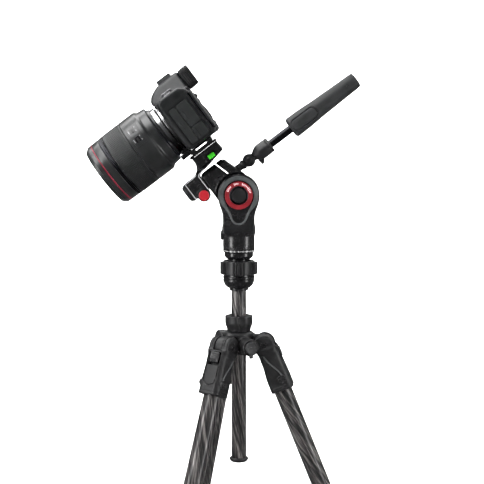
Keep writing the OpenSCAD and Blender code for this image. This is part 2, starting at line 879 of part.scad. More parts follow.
tilt_axle();
tilt_dial();
tilt_block();
roll_bracket();
roll_knob();
quick_release_lever();
quick_release_plate();
bubble_level();
handle_socket();
handle_collar();
handle_rod();
handle_grip();
camera_body();
camera_top_cover();
eyecup();
port_covers();
screen();
mode_dial();
shutter_button();
lens_mount();
lens_barrel();
focus_ring();
control_ring();
front_element();
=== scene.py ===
"""Looks of the camera on its travel tripod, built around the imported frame.

Pieces are made in millimetres in a local frame of their own (level head, upright head, lens, handle,
hub or one leg) and placed by that frame's matrix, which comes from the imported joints.
Cast and moulded parts are drawn as signed distance fields and meshed; turned parts are lathed.
"""
import json
import math
from functools import reduce

import bpy
import numpy as np
from mathutils import Matrix, Vector
from numpy import hypot


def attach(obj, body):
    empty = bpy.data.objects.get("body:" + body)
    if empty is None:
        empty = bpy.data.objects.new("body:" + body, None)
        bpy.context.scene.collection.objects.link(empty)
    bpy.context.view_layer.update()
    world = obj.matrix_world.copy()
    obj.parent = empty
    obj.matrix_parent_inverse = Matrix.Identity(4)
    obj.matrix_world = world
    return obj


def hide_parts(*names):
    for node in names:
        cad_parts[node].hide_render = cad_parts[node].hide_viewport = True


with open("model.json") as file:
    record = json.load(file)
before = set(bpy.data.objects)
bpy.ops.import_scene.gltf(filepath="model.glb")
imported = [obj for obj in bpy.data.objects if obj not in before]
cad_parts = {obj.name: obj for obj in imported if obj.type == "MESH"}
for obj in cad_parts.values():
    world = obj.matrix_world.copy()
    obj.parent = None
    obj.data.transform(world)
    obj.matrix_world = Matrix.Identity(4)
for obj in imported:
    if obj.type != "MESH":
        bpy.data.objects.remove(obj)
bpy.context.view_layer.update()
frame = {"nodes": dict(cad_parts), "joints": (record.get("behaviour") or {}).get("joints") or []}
JOINT = {j["name"]: j for j in frame["joints"]}
LEGS = ("right", "front", "back")
MM = 0.001


# -------- frames

def axes(origin, x, y, z):
    """Matrix of a frame from its origin and three unit vectors, in metres."""
    m = Matrix.Identity(4)
    for i, v in enumerate((x, y, z, origin)):
        for k in range(3):
            m[k][i] = v[k]
    return m


TILT = Vector(JOINT["tilt"]["pos_m"])
U = Vector(JOINT["roll"]["axis"]).normalized()
Y = Vector((0, 1, 0))
W = U.cross(Y)
HEAD = axes(TILT, (1, 0, 0), (0, 1, 0), (0, 0, 1))
LEVEL = axes(TILT, U, Y, W)
LENS_ARM = Vector(JOINT["lens_twist"]["pos_m"]) - TILT
LENS = axes(TILT + W * LENS_ARM.dot(W), U, Y, W)
LENS_Z = LENS_ARM.dot(W) / MM
HANDLE_ARM = Vector(JOINT["handle_fold"]["pos_m"]) - TILT
HANDLE = axes(TILT + W * HANDLE_ARM.dot(W), U, Y, W)
KNUCKLE = HANDLE_ARM.dot(U) / MM
PIVOT_Z = JOINT["right_leg_fold"]["pos_m"][2]
HUB = axes((0, 0, PIVOT_Z), (1, 0, 0), (0, 1, 0), (0, 0, 1))

# where a piece is drawn and the body that it rides on
STEM = (HEAD, "pan_body")
TILTING = (LEVEL, "tilt_body")
ROLLING = (LEVEL, "roll_body")
CAMERA = (LEVEL, "camera")
BARREL = (LENS, "lens")
NEAR_AND_FAR = ((-1, "near"), (1, "far"))


def leg_frame(leg):
    """Origin at the leg's pivot, +Z up along the leg, +X outwards."""
    tangent = Vector(JOINT[leg + "_leg_fold"]["axis"])
    up = -Vector(JOINT[leg + "_middle_slide"]["axis"])
    return axes(JOINT[leg + "_leg_fold"]["pos_m"], tangent.cross(up), tangent, up)


# -------- materials

def set_inputs(node, **values):
    """Sets a node's inputs by name, with underscores for spaces."""
    for name, value in values.items():
        node.inputs[name.replace("_", " ")].default_value = value


def new_material(name):
    m = bpy.data.materials.new(name)
    m.use_nodes = True
    nodes = m.node_tree.nodes
    where = nodes.new("ShaderNodeTexCoord").outputs["Object"]
    return m, nodes, m.node_tree.links, nodes["Principled BSDF"], where


def noise(nodes, links, vector, scale, detail=3.0, rough=0.55):
    n = nodes.new("ShaderNodeTexNoise")
    set_inputs(n, Scale=scale, Detail=detail, Roughness=rough)
    links.new(vector, n.inputs["Vector"])
    return n.outputs["Fac"]


def spread(nodes, links, value, low, high):
    """The value, usually 0.3 to 0.7, mapped to low..high."""
    r = nodes.new("ShaderNodeMapRange")
    set_inputs(r, From_Min=0.3, From_Max=0.7, To_Min=low, To_Max=high)
    links.new(value, r.inputs["Value"])
    return r.outputs["Result"]


def two_tone(nodes, links, fac, dark, light):
    ramp = nodes.new("ShaderNodeValToRGB")
    ramp.color_ramp.elements[0].position = 0.35
    ramp.color_ramp.elements[0].color = (*dark, 1)
    ramp.color_ramp.elements[1].position = 0.68
    ramp.color_ramp.elements[1].color = (*light, 1)
    links.new(fac, ramp.inputs["Fac"])
    return ramp.outputs["Color"]


def bump(nodes, links, shader, height, depth_mm, strength=0.5):
    b = nodes.new("ShaderNodeBump")
    set_inputs(b, Strength=strength, Distance=depth_mm * MM)
    links.new(height, b.inputs["Height"])
    links.new(b.outputs["Normal"], shader.inputs["Normal"])


def moulded(name, dark, light, rough, grain, depth, bump_strength, specular, blotch=60):
    """Plastic, coated metal or rubber: broad drift of tone and roughness, fine grain in the bump.
    The two colours are in thousandths."""
    dark, light = ([c / 1000 for c in colour] for colour in (dark, light))
    m, nodes, links, shader, where = new_material(name)
    broad = noise(nodes, links, where, blotch, 4.0)
    fine = noise(nodes, links, where, grain, 2.0, 0.6)
    links.new(two_tone(nodes, links, broad, dark, light), shader.inputs["Base Color"])
    links.new(spread(nodes, links, broad, *rough), shader.inputs["Roughness"])
    bump(nodes, links, shader, fine, depth, bump_strength)
    set_inputs(shader, Specular_IOR_Level=specular)
    return m


def carbon_material(name):
    """Tube with the tow wound round it: streaks that run along a steep helix, under a clear coat."""
    m, nodes, links, shader, where = new_material(name)
    split = nodes.new("ShaderNodeSeparateXYZ")
    links.new(where, split.inputs["Vector"])

    def calc(operation, a, b):
        n = nodes.new("ShaderNodeMath")
        n.operation = operation
        for socket, value in zip(n.inputs, (a, b)):
            if isinstance(value, (int, float)):
                socket.default_value = value
            else:
                links.new(value, socket)
        return n.outputs["Value"]

    turn = calc("ARCTAN2", split.outputs["Y"], split.outputs["X"])
    layers = []
    for pitch, across, along in ((30.0, 2.6, 7.0), (8.0, 3.4, 9.0)):
        helix = calc("ADD", turn, calc("MULTIPLY", split.outputs["Z"], pitch))
        # cosine and sine keep the streaks whole where the angle wraps round
        vector = nodes.new("ShaderNodeCombineXYZ")
        links.new(calc("MULTIPLY", calc("COSINE", helix, 0.0), across), vector.inputs["X"])
        links.new(calc("MULTIPLY", calc("SINE", helix, 0.0), across), vector.inputs["Y"])
        links.new(calc("MULTIPLY", split.outputs["Z"], along), vector.inputs["Z"])
        layers.append(noise(nodes, links, vector.outputs["Vector"], 1.5, 6.0, 0.62))
    tow = calc("MULTIPLY", calc("ADD", layers[0], layers[1]), 0.5)
    ramp = nodes.new("ShaderNodeValToRGB")
    stops = [(0.42, (0.005, 0.005, 0.0055)), (0.51, (0.020, 0.019, 0.019)), (0.60, (0.100, 0.094, 0.091))]
    ramp.color_ramp.elements.new(0.5)
    for element, (place, colour) in zip(ramp.color_ramp.elements, stops):
        element.position = place
        element.color = (*colour, 1)
    links.new(tow, ramp.inputs["Fac"])
    links.new(ramp.outputs["Color"], shader.inputs["Base Color"])
    links.new(spread(nodes, links, tow, 0.42, 0.26), shader.inputs["Roughness"])
    bump(nodes, links, shader, tow, 0.08, 0.25)
    set_inputs(shader, Metallic=0.25, Specular_IOR_Level=0.2, Coat_Weight=0.16, Coat_Roughness=0.12)
    return m


def turned_metal(name, colour, rough=(0.16, 0.26), axis="X", scale=900, painted_reflection_fade=None):
    """Machined metal with fine rings about its axis. The last argument, if given, paints a reflection: bright
    above, darker towards the bottom.
    """
    m, nodes, links, shader, where = new_material(name)
    stretch = nodes.new("ShaderNodeMapping")
    set_inputs(stretch, Scale=[1.0 if a == axis else 0.04 for a in "XYZ"])
    links.new(where, stretch.inputs["Vector"])
    rings = noise(nodes, links, stretch.outputs["Vector"], scale, 3.0, 0.7)
    dark = [c * 0.82 for c in colour]
    tone = two_tone(nodes, links, rings, dark, colour)
    if painted_reflection_fade:
        # painted reflection: bright above, with painted shade darkening it towards the bottom
        split = nodes.new("ShaderNodeSeparateXYZ")
        links.new(where, split.inputs["Vector"])
        height = nodes.new("ShaderNodeMapRange")
        set_inputs(height, From_Min=painted_reflection_fade[0], From_Max=painted_reflection_fade[1], To_Min=0.05)
        links.new(split.outputs["Z"], height.inputs["Value"])
        scaled = nodes.new("ShaderNodeVectorMath")
        scaled.operation = "SCALE"
        links.new(tone, scaled.inputs[0])
        links.new(height.outputs["Result"], scaled.inputs["Scale"])
        tone = scaled.outputs["Vector"]
    links.new(tone, shader.inputs["Base Color"])
    links.new(spread(nodes, links, rings, *rough), shader.inputs["Roughness"])
    bump(nodes, links, shader, rings, 0.01, 0.3)
    set_inputs(shader, Metallic=1.0)
    return m


def clear(name, colour, rough=0.03, transmission=1.0, ior=1.5):
    m, nodes, links, shader, where = new_material(name)
    drift = noise(nodes, links, where, 40, 2.0)
    links.new(two_tone(nodes, links, drift, [c * 0.8 for c in colour], colour), shader.inputs["Base Color"])
    set_inputs(shader, Roughness=rough, Transmission_Weight=transmission, IOR=ior, Coat_Weight=0.6)
    return m


# name, darker and lighter colour in thousandths, roughness, grain, bump depth in mm, bump strength, specular
MOULDED = {
    "cast": ("cast_black", (2.2, 2.2, 2.7), (4.9, 4.9, 5.3), (0.22, 0.30), 3000, 0.04, 0.35, 0.45),
    "cast_grey": ("cast_grey", (26, 28.5, 29.1), (44.6, 47.7, 48.4), (0.30, 0.40), 2600, 0.05, 0.4, 0.35),
    "satin": ("satin_black", (1.8, 1.8, 2.2), (4, 4, 4.5), (0.20, 0.28), 2600, 0.03, 0.3, 0.42),
    "plastic": ("black_plastic", (4.5, 4.5, 4.9), (8.1, 8.1, 8.9), (0.34, 0.44), 1800, 0.06, 0.5, 0.30),
    "shoulder": ("shoulder_black", (5.4, 5.4, 5.8), (9, 9, 9.4), (0.38, 0.48), 2000, 0.06, 0.5, 0.26),
    "rubber": ("matt_rubber", (3.6, 3.6, 4), (6.3, 6.3, 6.7), (0.50, 0.64), 1500, 0.1, 0.6, 0.20),
    "grip": ("grip_rubber", (8.1, 8.5, 8.9), (13.4, 13.8, 14.8), (0.46, 0.58), 1500, 0.08, 0.6, 0.22),
    "shell": ("camera_shell", (3.1, 3.6, 3.8), (5.8, 6.3, 6.7), (0.32, 0.42), 1900, 0.08, 0.7, 0.24),
    "leather": ("camera_leatherette", (3.6, 4, 4.2), (6.7, 7.1, 7.6), (0.46, 0.58), 900, 0.25, 0.9, 0.24),
    "cover": ("port_cover_rubber", (5.5, 6.3, 6.5), (8.5, 9.4, 9.6), (0.50, 0.60), 2200, 0.04, 0.4, 0.20),
    "lens": ("lens_satin", (4.9, 5.3, 5.5), (8.5, 8.9, 9.4), (0.28, 0.36), 3200, 0.03, 0.35, 0.40),
    "lens_rubber": ("lens_rubber", (4, 4.5, 4.7), (7.1, 7.6, 8.1), (0.40, 0.50), 2400, 0.05, 0.4, 0.28),
    "gloss": ("gloss_black", (1.4, 1.4, 1.8), (2.7, 2.7, 3.1), (0.20, 0.28), 900, 0.01, 0.1, 0.30),
    "red_dial": ("red_dial", (93.6, 0.7, 3.6), (136.8, 2.2, 6.5), (0.30, 0.40), 2200, 0.03, 0.3, 0.35),
    "red_ring": ("red_ring", (122.4, 1.4, 11.5), (180, 3.6, 20.2), (0.3, 0.36), 1500, 0.01, 0.2, 0.3),
    "red_badge": ("red_badge", (172.8, 4.3, 8.6), (244.8, 8.6, 13), (0.22, 0.3), 1200, 0.02, 0.2, 0.3),
    "print_white": ("printed_white", (620, 620, 620), (780, 780, 780), (0.5, 0.6), 1600, 0.01, 0.2, 0.5),
    "print_pink": ("printed_pink", (720, 500, 530), (860, 660, 680), (0.5, 0.6), 1600, 0.01, 0.2, 0.5),
    # light grey: real print on the lens's switch marks, and a painted highlight on the bracket's edge lines
    "print_grey": ("printed_grey_and_painted_highlight", (220, 220, 230), (320, 320, 330), (0.5, 0.6), 1600, 0.01, 0.2, 0.5),
}
MAT = {key: moulded(*row) for key, row in MOULDED.items()}
MAT.update({
    "carbon": carbon_material("carbon_tube"),
    # the mount's chrome carries a painted reflection, bright at the top and darker towards the bottom
    "chrome": turned_metal("chrome_with_painted_reflection", (0.5, 0.5, 0.51), painted_reflection_fade=(-0.018, 0.014)),
    "steel": turned_metal("turned_steel", (0.22, 0.22, 0.23), (0.25, 0.38), "Y"),
    "anodised": turned_metal("black_anodised", (0.02, 0.02, 0.022), (0.22, 0.32)),
    "vial": clear("green_vial", (0.06, 0.62, 0.03), 0.06, 0.4, 1.4),
    "glass": clear("coated_glass", (0.50, 0.62, 0.80), 0.02, 0.9, 1.6),
})


# -------- mesh tools

def new_object(name, data):
    o = bpy.data.objects.new(name, data)
    bpy.context.scene.collection.objects.link(o)
    return o


def add(name, mesh, matrix, body, material, replaces=(), crease=38, keep=None, bevel=None):
    """Makes a piece from (vertices in mm, faces), places it and lets it ride on a body."""
    verts, faces = mesh
    data = bpy.data.meshes.new(name)
    data.from_pydata([Vector(v) * MM for v in verts], [], [list(map(int, f)) for f in faces])
    data.update()
    data.shade_smooth()
    data.set_sharp_from_angle(angle=math.radians(crease))
    data.materials.append(MAT[material])
    o = new_object(name, data)
    o.matrix_world = matrix
    if bevel:
        b = o.modifiers.new("edges", "BEVEL")
        b.width = bevel * MM
        b.segments = 3
        b.limit_method = "ANGLE"
        b.angle_limit = math.radians(30)
        b.harden_normals = True
    if keep:
        d = o.modifiers.new("lighten", "DECIMATE")
        d.ratio = keep
    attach(o, body)
    if replaces:
        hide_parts(*replaces)
    return o


def soften(points, radius, steps=3, closed=False):
    """Rounds the corners of an outline with short curves."""
    count = len(points)
    out = [] if closed else [points[0]]
    for i in range(count) if closed else range(1, count - 1):
        a, b, c = (Vector((*points[(i + k) % count], 0)) for k in (-1, 0, 1))
        u, v = a - b, c - b
        if min(u.length, v.length) < 1e-6:
            continue
        half = u.angle(v) / 2
        reach = min(radius / max(math.tan(half), 0.05), 0.45 * min(u.length, v.length))
        p, q = b + u.normalized() * reach, b + v.normalized() * reach
        for k in range(steps + 1):
            s = k / steps
            r = p * (1 - s) ** 2 + b * (2 * s * (1 - s)) + q * s * s
            out.append((r.x, r.y))
    return out if closed else [*out, points[-1]]


def lathe(profile, axis="x", segments=128, ripple=None, edge=0.35, hollow=False):
    """Turns [(place along the axis, radius)] into a closed mesh. ripple(place, angle, radius) shapes the rim.
    hollow closes the profile on itself, for rings and tubes."""
    points = soften(profile, edge, 3, hollow)
    place = np.array([p[0] for p in points], float)
    radius = np.array([p[1] for p in points], float)
    angle = np.linspace(0, 2 * math.pi, segments, endpoint=False)
    a, t = np.meshgrid(place, angle, indexing="ij")
    r = np.repeat(radius[:, None], segments, 1)
    if ripple:
        r = ripple(a, t, r)
    across, up = r * np.cos(t), r * np.sin(t)
    grid = {"x": (a, across, up), "y": (up, a, across), "z": (across, up, a)}[axis]
    verts = np.stack([g.ravel() for g in grid], 1)
    rows = len(points)
    index = np.arange(rows * segments).reshape(rows, segments)
    following = np.roll(index, -1, 1)
    last = rows if hollow else rows - 1
    faces = []
    for i in range(last):
        k = (i + 1) % rows
        faces.append(np.stack([index[i], following[i], following[k], index[k]], 1))
    quads = [list(f) for f in np.concatenate(faces)]
    if not hollow:
        quads.append(list(index[0][::-1]))
        quads.append(list(index[-1]))
    if (place[-1] - place[0] < 0) if not hollow else area(points) > 0:
        quads = [q[::-1] for q in quads]
    return verts, quads


def area(points):
    return 0.5 * sum(a[0] * b[1] - b[0] * a[1] for a, b in zip(points, points[1:] + points[:1]))


def tube(a, b, outer, inner, axis="x", segments=96, edge=0.3, ripple=None):
    return lathe([(a, inner), (b, inner), (b, outer), (a, outer)], axis, segments, ripple, edge,
                 hollow=True)


def slab(outline, y0, y1):
    """Prism of an outline in local X and Z between two Y planes."""
    n = len(outline)
    if area(outline) < 0:
        outline = outline[::-1]
    verts = [(x, y0, z) for x, z in outline] + [(x, y1, z) for x, z in outline]
    faces = [list(range(n)), list(range(2 * n - 1, n - 1, -1))]
    faces += [[i, n + i, n + (i + 1) % n, (i + 1) % n] for i in range(n)]
    return verts, faces


def block(x0, x1, y0, y1, z0, z1):
    return slab([(x0, z0), (x1, z0), (x1, z1), (x0, z1)], y0, y1)


def joined(*meshes):
    verts, faces, base = [], [], 0
    for v, f in meshes:
        verts += [tuple(p) for p in v]
        faces += [[i + base for i in face] for face in f]
        base += len(v)
    return verts, faces


def turned(mesh, matrix):
    """The mesh moved by a matrix in millimetres."""
    verts, faces = mesh
    m = np.array(matrix)
    v = np.asarray(verts, float) @ m[:3, :3].T + m[:3, 3]
    return v, faces


# -------- distance fields

def rounded(a, b, r):
    """What lies in both fields, with the edge between them rounded."""
    a, b = a + r, b + r
    return np.minimum(np.maximum(a, b), 0) + hypot(np.maximum(a, 0), np.maximum(b, 0)) - r


def both(*fields):
    """What lies in all of the fields, with sharp edges."""
    return reduce(np.maximum, fields)


def box_field(x, y, z, low, high, r=1.0):
    c = [(a + b) / 2 for a, b in zip(low, high)]
    h = [(b - a) / 2 - r for a, b in zip(low, high)]
    q = [abs(p - m) - s for p, m, s in zip((x, y, z), c, h)]
    outside = np.sqrt(sum(np.maximum(k, 0) ** 2 for k in q))
    return outside + np.minimum(np.maximum(np.maximum(q[0], q[1]), q[2]), 0) - r


def disc_field(along, a, b, low, high, radius, r=0.5):
    """Cylinder along one coordinate; a and b are the offsets from its axis."""
    return rounded(np.sqrt(a * a + b * b) - radius, abs(along - (low + high) / 2) - (high - low) / 2, r)


def outline_field(x, z, points):
    """Distance to a closed outline, negative inside."""
    best = np.full(np.shape(x), 1e9)
    sign = np.ones(np.shape(x))
    for (ax, az), (bx, bz) in zip(points, points[1:] + points[:1]):
        ex, ez = bx - ax, bz - az
        wx, wz = x - ax, z - az
        t = np.clip((wx * ex + wz * ez) / (ex * ex + ez * ez), 0, 1)
        best = np.minimum(best, (wx - ex * t) ** 2 + (wz - ez * t) ** 2)
        above, below = (az <= z) & (bz > z), (az > z) & (bz <= z)
        cross = ex * wz - ez * wx
        sign = np.where((above & (cross > 0)) | (below & (cross < 0)), -sign, sign)
    return sign * np.sqrt(best)


def thick(flat, across, half, r=1.0):
    """A flat field given thickness, with round edges."""
    return rounded(flat, abs(across) - half, r)


def join(a, b, k=2.0):
    h = np.clip(0.5 + 0.5 * (b - a) / k, 0, 1)
    return b * (1 - h) + a * h - k * h * (1 - h)


def cut(a, b, k=0.4):
    return -join(-a, b, k)


def meet(a, b, k=0.4):
    return -join(-a, -b, k)


def surface_net(field, low, high, step):
    """Quads on the zero level of a field: one vertex in each cell that the surface crosses."""
    grid = np.meshgrid(*[np.arange(a - 2 * step, b + 3 * step, step) for a, b in zip(low, high)],
                       indexing="ij")
    value = field(*grid).astype(float)
    cells = np.array(value.shape) - 1
    rings, places = [], []
    for a in range(3):
        b, c = (a + 1) % 3, (a + 2) % 3
        first = np.take(value, range(value.shape[a] - 1), a)
        second = np.take(value, range(1, value.shape[a]), a)
        edge = np.argwhere((first < 0) != (second < 0))
        f, s = first[tuple(edge.T)], second[tuple(edge.T)]
        place = edge.astype(float)
        place[:, a] += f / (f - s)
        ring = []
        for db, dc in ((1, 1), (0, 1), (0, 0), (1, 0)):
            cell = edge.copy()
            cell[:, b] -= db
            cell[:, c] -= dc
            ring.append(np.ravel_multi_index(cell.T, cells))
        ring = np.stack(ring, 1)
        ring[f >= 0] = ring[f >= 0][:, ::-1]
        rings.append(ring)
        places.append(np.repeat(place, 4, 0))
    rings = np.concatenate(rings)
    # a cell's vertex is the mean of the crossings on its edges; each crossing counts in four cells
    used, inverse, count = np.unique(rings.ravel(), return_inverse=True, return_counts=True)
    total = np.zeros((len(used), 3))
    np.add.at(total, inverse, np.concatenate(places))
    points = total / count[:, None] * step + (np.array(low) - 2 * step)
    for _ in range(4):
        d = field(*points.T)
        e = 0.2 * step
        slope = [(field(*(points + s).T) - field(*(points - s).T)) / (2 * e) for s in e * np.eye(3)]
        slope = np.stack(slope, 1)
        size = np.maximum((slope ** 2).sum(1), 0.1)
        points -= slope * np.clip(d / size, -0.4 * step, 0.4 * step)[:, None]
    return points, inverse.reshape(-1, 4)


# -------- pieces


def piece(name, mesh, matrix, body, material, *replaces, at=None, crease=38, keep=None, bevel=None):
    """A piece in its material's slot. at moves the mesh by millimetres in its frame."""
    if at:
        mesh = turned(mesh, shift(*at))
    return add(name, mesh, matrix, body, material, replaces, crease, keep, bevel)


def sculpt(name, field, low, high, step, matrix, body, material, *replaces, keep, slot=None):
    """A piece meshed from its distance field inside a box, at a grid step."""
    return add(name, surface_net(field, low, high, step), matrix, body, material, replaces,
               crease=50, keep=keep)


def drop(x, z, r1, r2, h):
    """Flat distance to the hull of a circle at the origin and a smaller one h below it."""
    x, z = abs(x), -z
    b = (r1 - r2) / h
    a = math.sqrt(1 - b * b)
    k = -b * x + a * z
    side = a * x + b * z - r1
    return np.where(k < 0, hypot(x, z) - r1, np.where(k > a * h, hypot(x, z - h) - r2, side))


def flat_box(x, z, x0, x1, z0, z1, r=0.0):
    return rounded(abs(x - (x0 + x1) / 2) - (x1 - x0) / 2, abs(z - (z0 + z1) / 2) - (z1 - z0) / 2, r)


def flutes(count, depth, low, high, sharp=1.0):
    """Ripple with grip grooves between two places along the axis."""
    def ripple(a, t, r):
        inside = np.clip(np.minimum(a - low, high - a) / 0.8, 0, 1)
        wave = (0.5 - 0.5 * np.cos(count * t)) ** sharp
        return r - depth * inside * wave
    return ripple


def rot_z(degrees):
    return np.array(Matrix.Rotation(math.radians(degrees), 4, "Z"))


def mirrored(s, profile):
    """A lathe profile on the near side for s = -1, on the far side for s = 1."""
    return [(s * place, radius) for place, radius in profile]


def shift(x, y, z):
    return np.array(Matrix.Translation((x, y, z)))


def bolt(along, radius, socket, axis="y"):
    """Round button head with a hollow for the key: (low, high) of the head along the axis."""
    low, high = along
    step = 1 if high > low else -1
    return lathe([(low, radius * 0.98), (high - 0.5 * step, radius), (high, radius - 0.7), (high, socket),
                  (high - 1.2 * step, socket), (high - 1.2 * step, 0.05)], axis, 48, None, 0.15)


def dots(count, radius, start, end, y, width, height, raise_by=0.15):
    """Short printed ticks on a ring in the X-Z plane facing -Y."""
    meshes = []
    for i in range(count):
        a = math.radians(start + (end - start) * i / (count - 1))
        tall = height * (1.0 if i % 5 else 1.6)
        c, s = math.cos(a), math.sin(a)
        corners = [(radius - tall / 2, -width / 2), (radius + tall / 2, -width / 2),
                   (radius + tall / 2, width / 2), (radius - tall / 2, width / 2)]
        meshes.append(slab([(c * r - s * q, s * r + c * q) for r, q in corners], y - raise_by, y + 0.1))
    return joined(*meshes)


# -------- hub

AZIMUTH = {leg: math.degrees(math.atan2(JOINT[leg + "_leg_fold"]["pos_m"][1],
                                        JOINT[leg + "_leg_fold"]["pos_m"][0])) for leg in LEGS}
PIVOT_R = math.hypot(*JOINT["right_leg_fold"]["pos_m"][:2]) / MM
BOSS = -65  # direction of the round accessory boss, in degrees


def plan(x, y, degrees):
    """Distances outwards and sideways along a direction in the level plane."""
    a = math.radians(degrees)
    return x * math.cos(a) + y * math.sin(a), -x * math.sin(a) + y * math.cos(a)


def spider_field(x, y, z):
    f = disc_field(z, x, y, -13, 16.8, 16.5, 1.6)
    f = join(f, disc_field(z, x, y, 9, 15.6, 19.2, 2.2), 2.0)
    for degrees in AZIMUTH.values():
        out, side = plan(x, y, degrees)
        web = box_field(out, side, z, (0, -6, -11), (PIVOT_R, 6, 12.8), 2)
        lug = disc_field(side, out - PIVOT_R, z, -6, 6, 12.9, 1.2)
        arm = join(web, lug, 2)
        arm = cut(arm, disc_field(side, out - PIVOT_R, z, -9, 9, 4.05, 0.1), 0.3)
        f = join(f, arm, 5)
    out, side = plan(x, y, BOSS)
    f = join(f, disc_field(out, side, z + 0.2, 0, 38, 11.3, 1.0), 3)
    f = cut(f, disc_field(out, side, z + 0.2, 35.2, 45, 9.7, 0.3), 0.4)
    # room for the legs' forks beside the boss
    for degrees in AZIMUTH.values():
        out, side = plan(x, y, degrees)
        f = cut(f, disc_field(abs(side), out - PIVOT_R, z, 6.4, 15.8, 19.2, 0.5), 1.0)
    return cut(f, disc_field(z, x, y, -20, 30, 10.35, 0.2), 0.8)


sculpt("spider_casting", spider_field, (-50, -50, -16), (52, 52, 20), 1.0, HUB, "hub", "shoulder", "spider",
       keep=0.5)
boss_turn = rot_z(BOSS) @ shift(0, 0, -0.2)
plug = lathe([(35, 8.7), (39.2, 8.8), (40.0, 8.2), (40.0, 7.2), (39.6, 6.9), (39.6, 0.05)],
             "x", 72, None, 0.2)
ear = slab([(36.5, -14.0), (40.0, -14.0), (40.0, -6), (36.5, -6)], -2.6, 2.6)
PLUG_MARKS = ((-4.4, -1.2, 1.4), (1.0, 4.2, 1.4), (-3.4, -0.6, -2.2), (1.4, 3.4, -2.2))
mark = joined(*[block(39.4, 39.9, left, right, low, low + 0.6) for left, right, low in PLUG_MARKS])
piece("accessory_plug_disc", turned(plug, boss_turn), HUB, "hub", "plastic", "accessory_plug")
piece("accessory_plug_ear", turned(ear, boss_turn), HUB, "hub", "plastic", bevel=0.9)
piece("accessory_plug_marks", turned(mark, boss_turn), HUB, "hub", "satin", bevel=0.1)


def through_bolt(half, rod, segments, low, high, radius, socket):
    """Rod across a frame with a button head at each end."""
    heads = [bolt((s * low, s * high), radius, socket) for s in (1, -1)]
    return joined(lathe([(-half, rod), (half, rod)], "y", segments), *heads)


pin = through_bolt(13, 4.0, 40, 12, 14.9, 4.0, 2.0)
pins = [turned(pin, rot_z(degrees) @ shift(PIVOT_R, 0, 0)) for degrees in AZIMUTH.values()]
piece("leg_pivot_bolts", joined(*pins), HUB, "hub", "shoulder", "leg_pivot_pins")


# -------- legs

def cuff(z):
    """0 to 1 where the shoulder widens into a cuff round the tube's socket."""
    swell = np.clip((-z - 26) / 24, 0, 1)
    return swell * swell * (3 - 2 * swell)


def ridge_curve(z):
    """X of the ridge that curves down each flank of the shoulder."""
    return 1.4 - 6.8 * np.cos(np.clip(-(z + 13) / 36, 0, 1) * math.pi)


def shoulder_field(x, y, z):
    knuckle = disc_field(y, x, z, -15.2, 15.2, 13.9, 2.6)
    swell = cuff(z)
    inner, outer, side = -12.8 - 2.0 * swell, 15.9 + 0.6 * swell, -15.2 - 0.7 * swell
    flat = rounded(abs(x - (outer + inner) / 2) - (outer - inner) / 2, abs(y) + side, 7.4)
    body = meet(flat, abs(z + 36.5) - 28.9, 1.6)
    f = join(knuckle, body, 6)
    # pad on the outer face, with a groove round it that runs over the knuckle
    face = flat_box(y, z, -9.2, 9.2, -53, 22, 8)
    skin = np.where(z > -2, 13.0 - hypot(x, z), 14.7 + 0.6 * swell - x)
    f = np.where(x > 2, cut(f, both(abs(face) - 0.55, skin), 0.5), f)
    # the selector's window, with the line above it
    f = cut(f, box_field(x, y, z, (7.4, -8.6, -27.0), (25, 8.6, -9.4), 0.8), 0.3)
    f = cut(f, box_field(x, y, z, (13.6, -9.6, -8.0), (25, 9.6, -6.9), 0.2), 0.2)
    # the ridge runs down to an oval boss, and the flank behind it is sunk
    behind = both(x - ridge_curve(z), z + 13, -59 - z)
    f = cut(f, both(behind, 14.5 + 0.5 * swell - abs(y)), 0.6)
    boss = np.sqrt(((x - 6.0) / 1.2) ** 2 + ((z + 50) / 0.95) ** 2) - 5.2
    f = join(f, both(boss, abs(y) - 18.6), 0.8)
    f = cut(f, both(boss + 1.5, 17.8 - abs(y)), 0.3)
    f = join(f, both(boss + 2.6, abs(y) - 18.5), 0.3)
    f = cut(f, both(abs((x - 6) * 0.6 + (z + 50) * 0.8) - 0.55, 17.8 - abs(y)), 0.2)
    # seam and lip where the tube enters
    f = cut(f, both(abs(z + 61.6) - 0.3, -flat - 0.5), 0.2)
    f = cut(f, disc_field(z, x, y, -75, -40, 12.4, 0.2), 0.5)
    # fork for the spider's lug and its web
    f = cut(f, disc_field(y, x, z, -6.4, 6.4, 14.9, 0.4), 0.6)
    f = cut(f, box_field(x, y, z, (-30, -6.4, -12.4), (0, 6.4, 20), 0.4), 0.4)
    return cut(f, disc_field(y, x, z, -20, 20, 4.1, 0.1), 0.3)


SHOULDER = surface_net(shoulder_field, (-16, -19, -67), (18, 19, 15), 0.8)


def ridge_field(x, y, z):
    """Beads that run down both flanks of the shoulder to the oval bosses."""
    bead = hypot((x - ridge_curve(z)) * 0.86, abs(y) - 15.2 - 0.6 * cuff(z)) - 0.95
    return both(bead, z + 13, -48 - z)


RIDGE = surface_net(ridge_field, (-11, -18, -50), (11, 18, -11), 0.5)


def selector_field(x, y, z):
    f = box_field(x, y, z, (11.6, -6.9, -23.9), (17.4, 6.9, -10.1), 1.4)
    for k in range(3):
        f = cut(f, disc_field(y, x - 17.8, z + 13.2 + 2.2 * k, -5, 5, 0.8, 0.3), 0.3)
    return f


SELECTOR = surface_net(selector_field, (11, -8, -25), (18, 8, -9), 0.5)
UPPER_TUBE = tube(-300, -40, 12.3, 11.1, "z", 96)
MIDDLE_TUBE = tube(-328, -70, 10.5, 9.3, "z", 80)
LOWER_TUBE = tube(-360, -90, 8.7, 7.5, "z", 72)


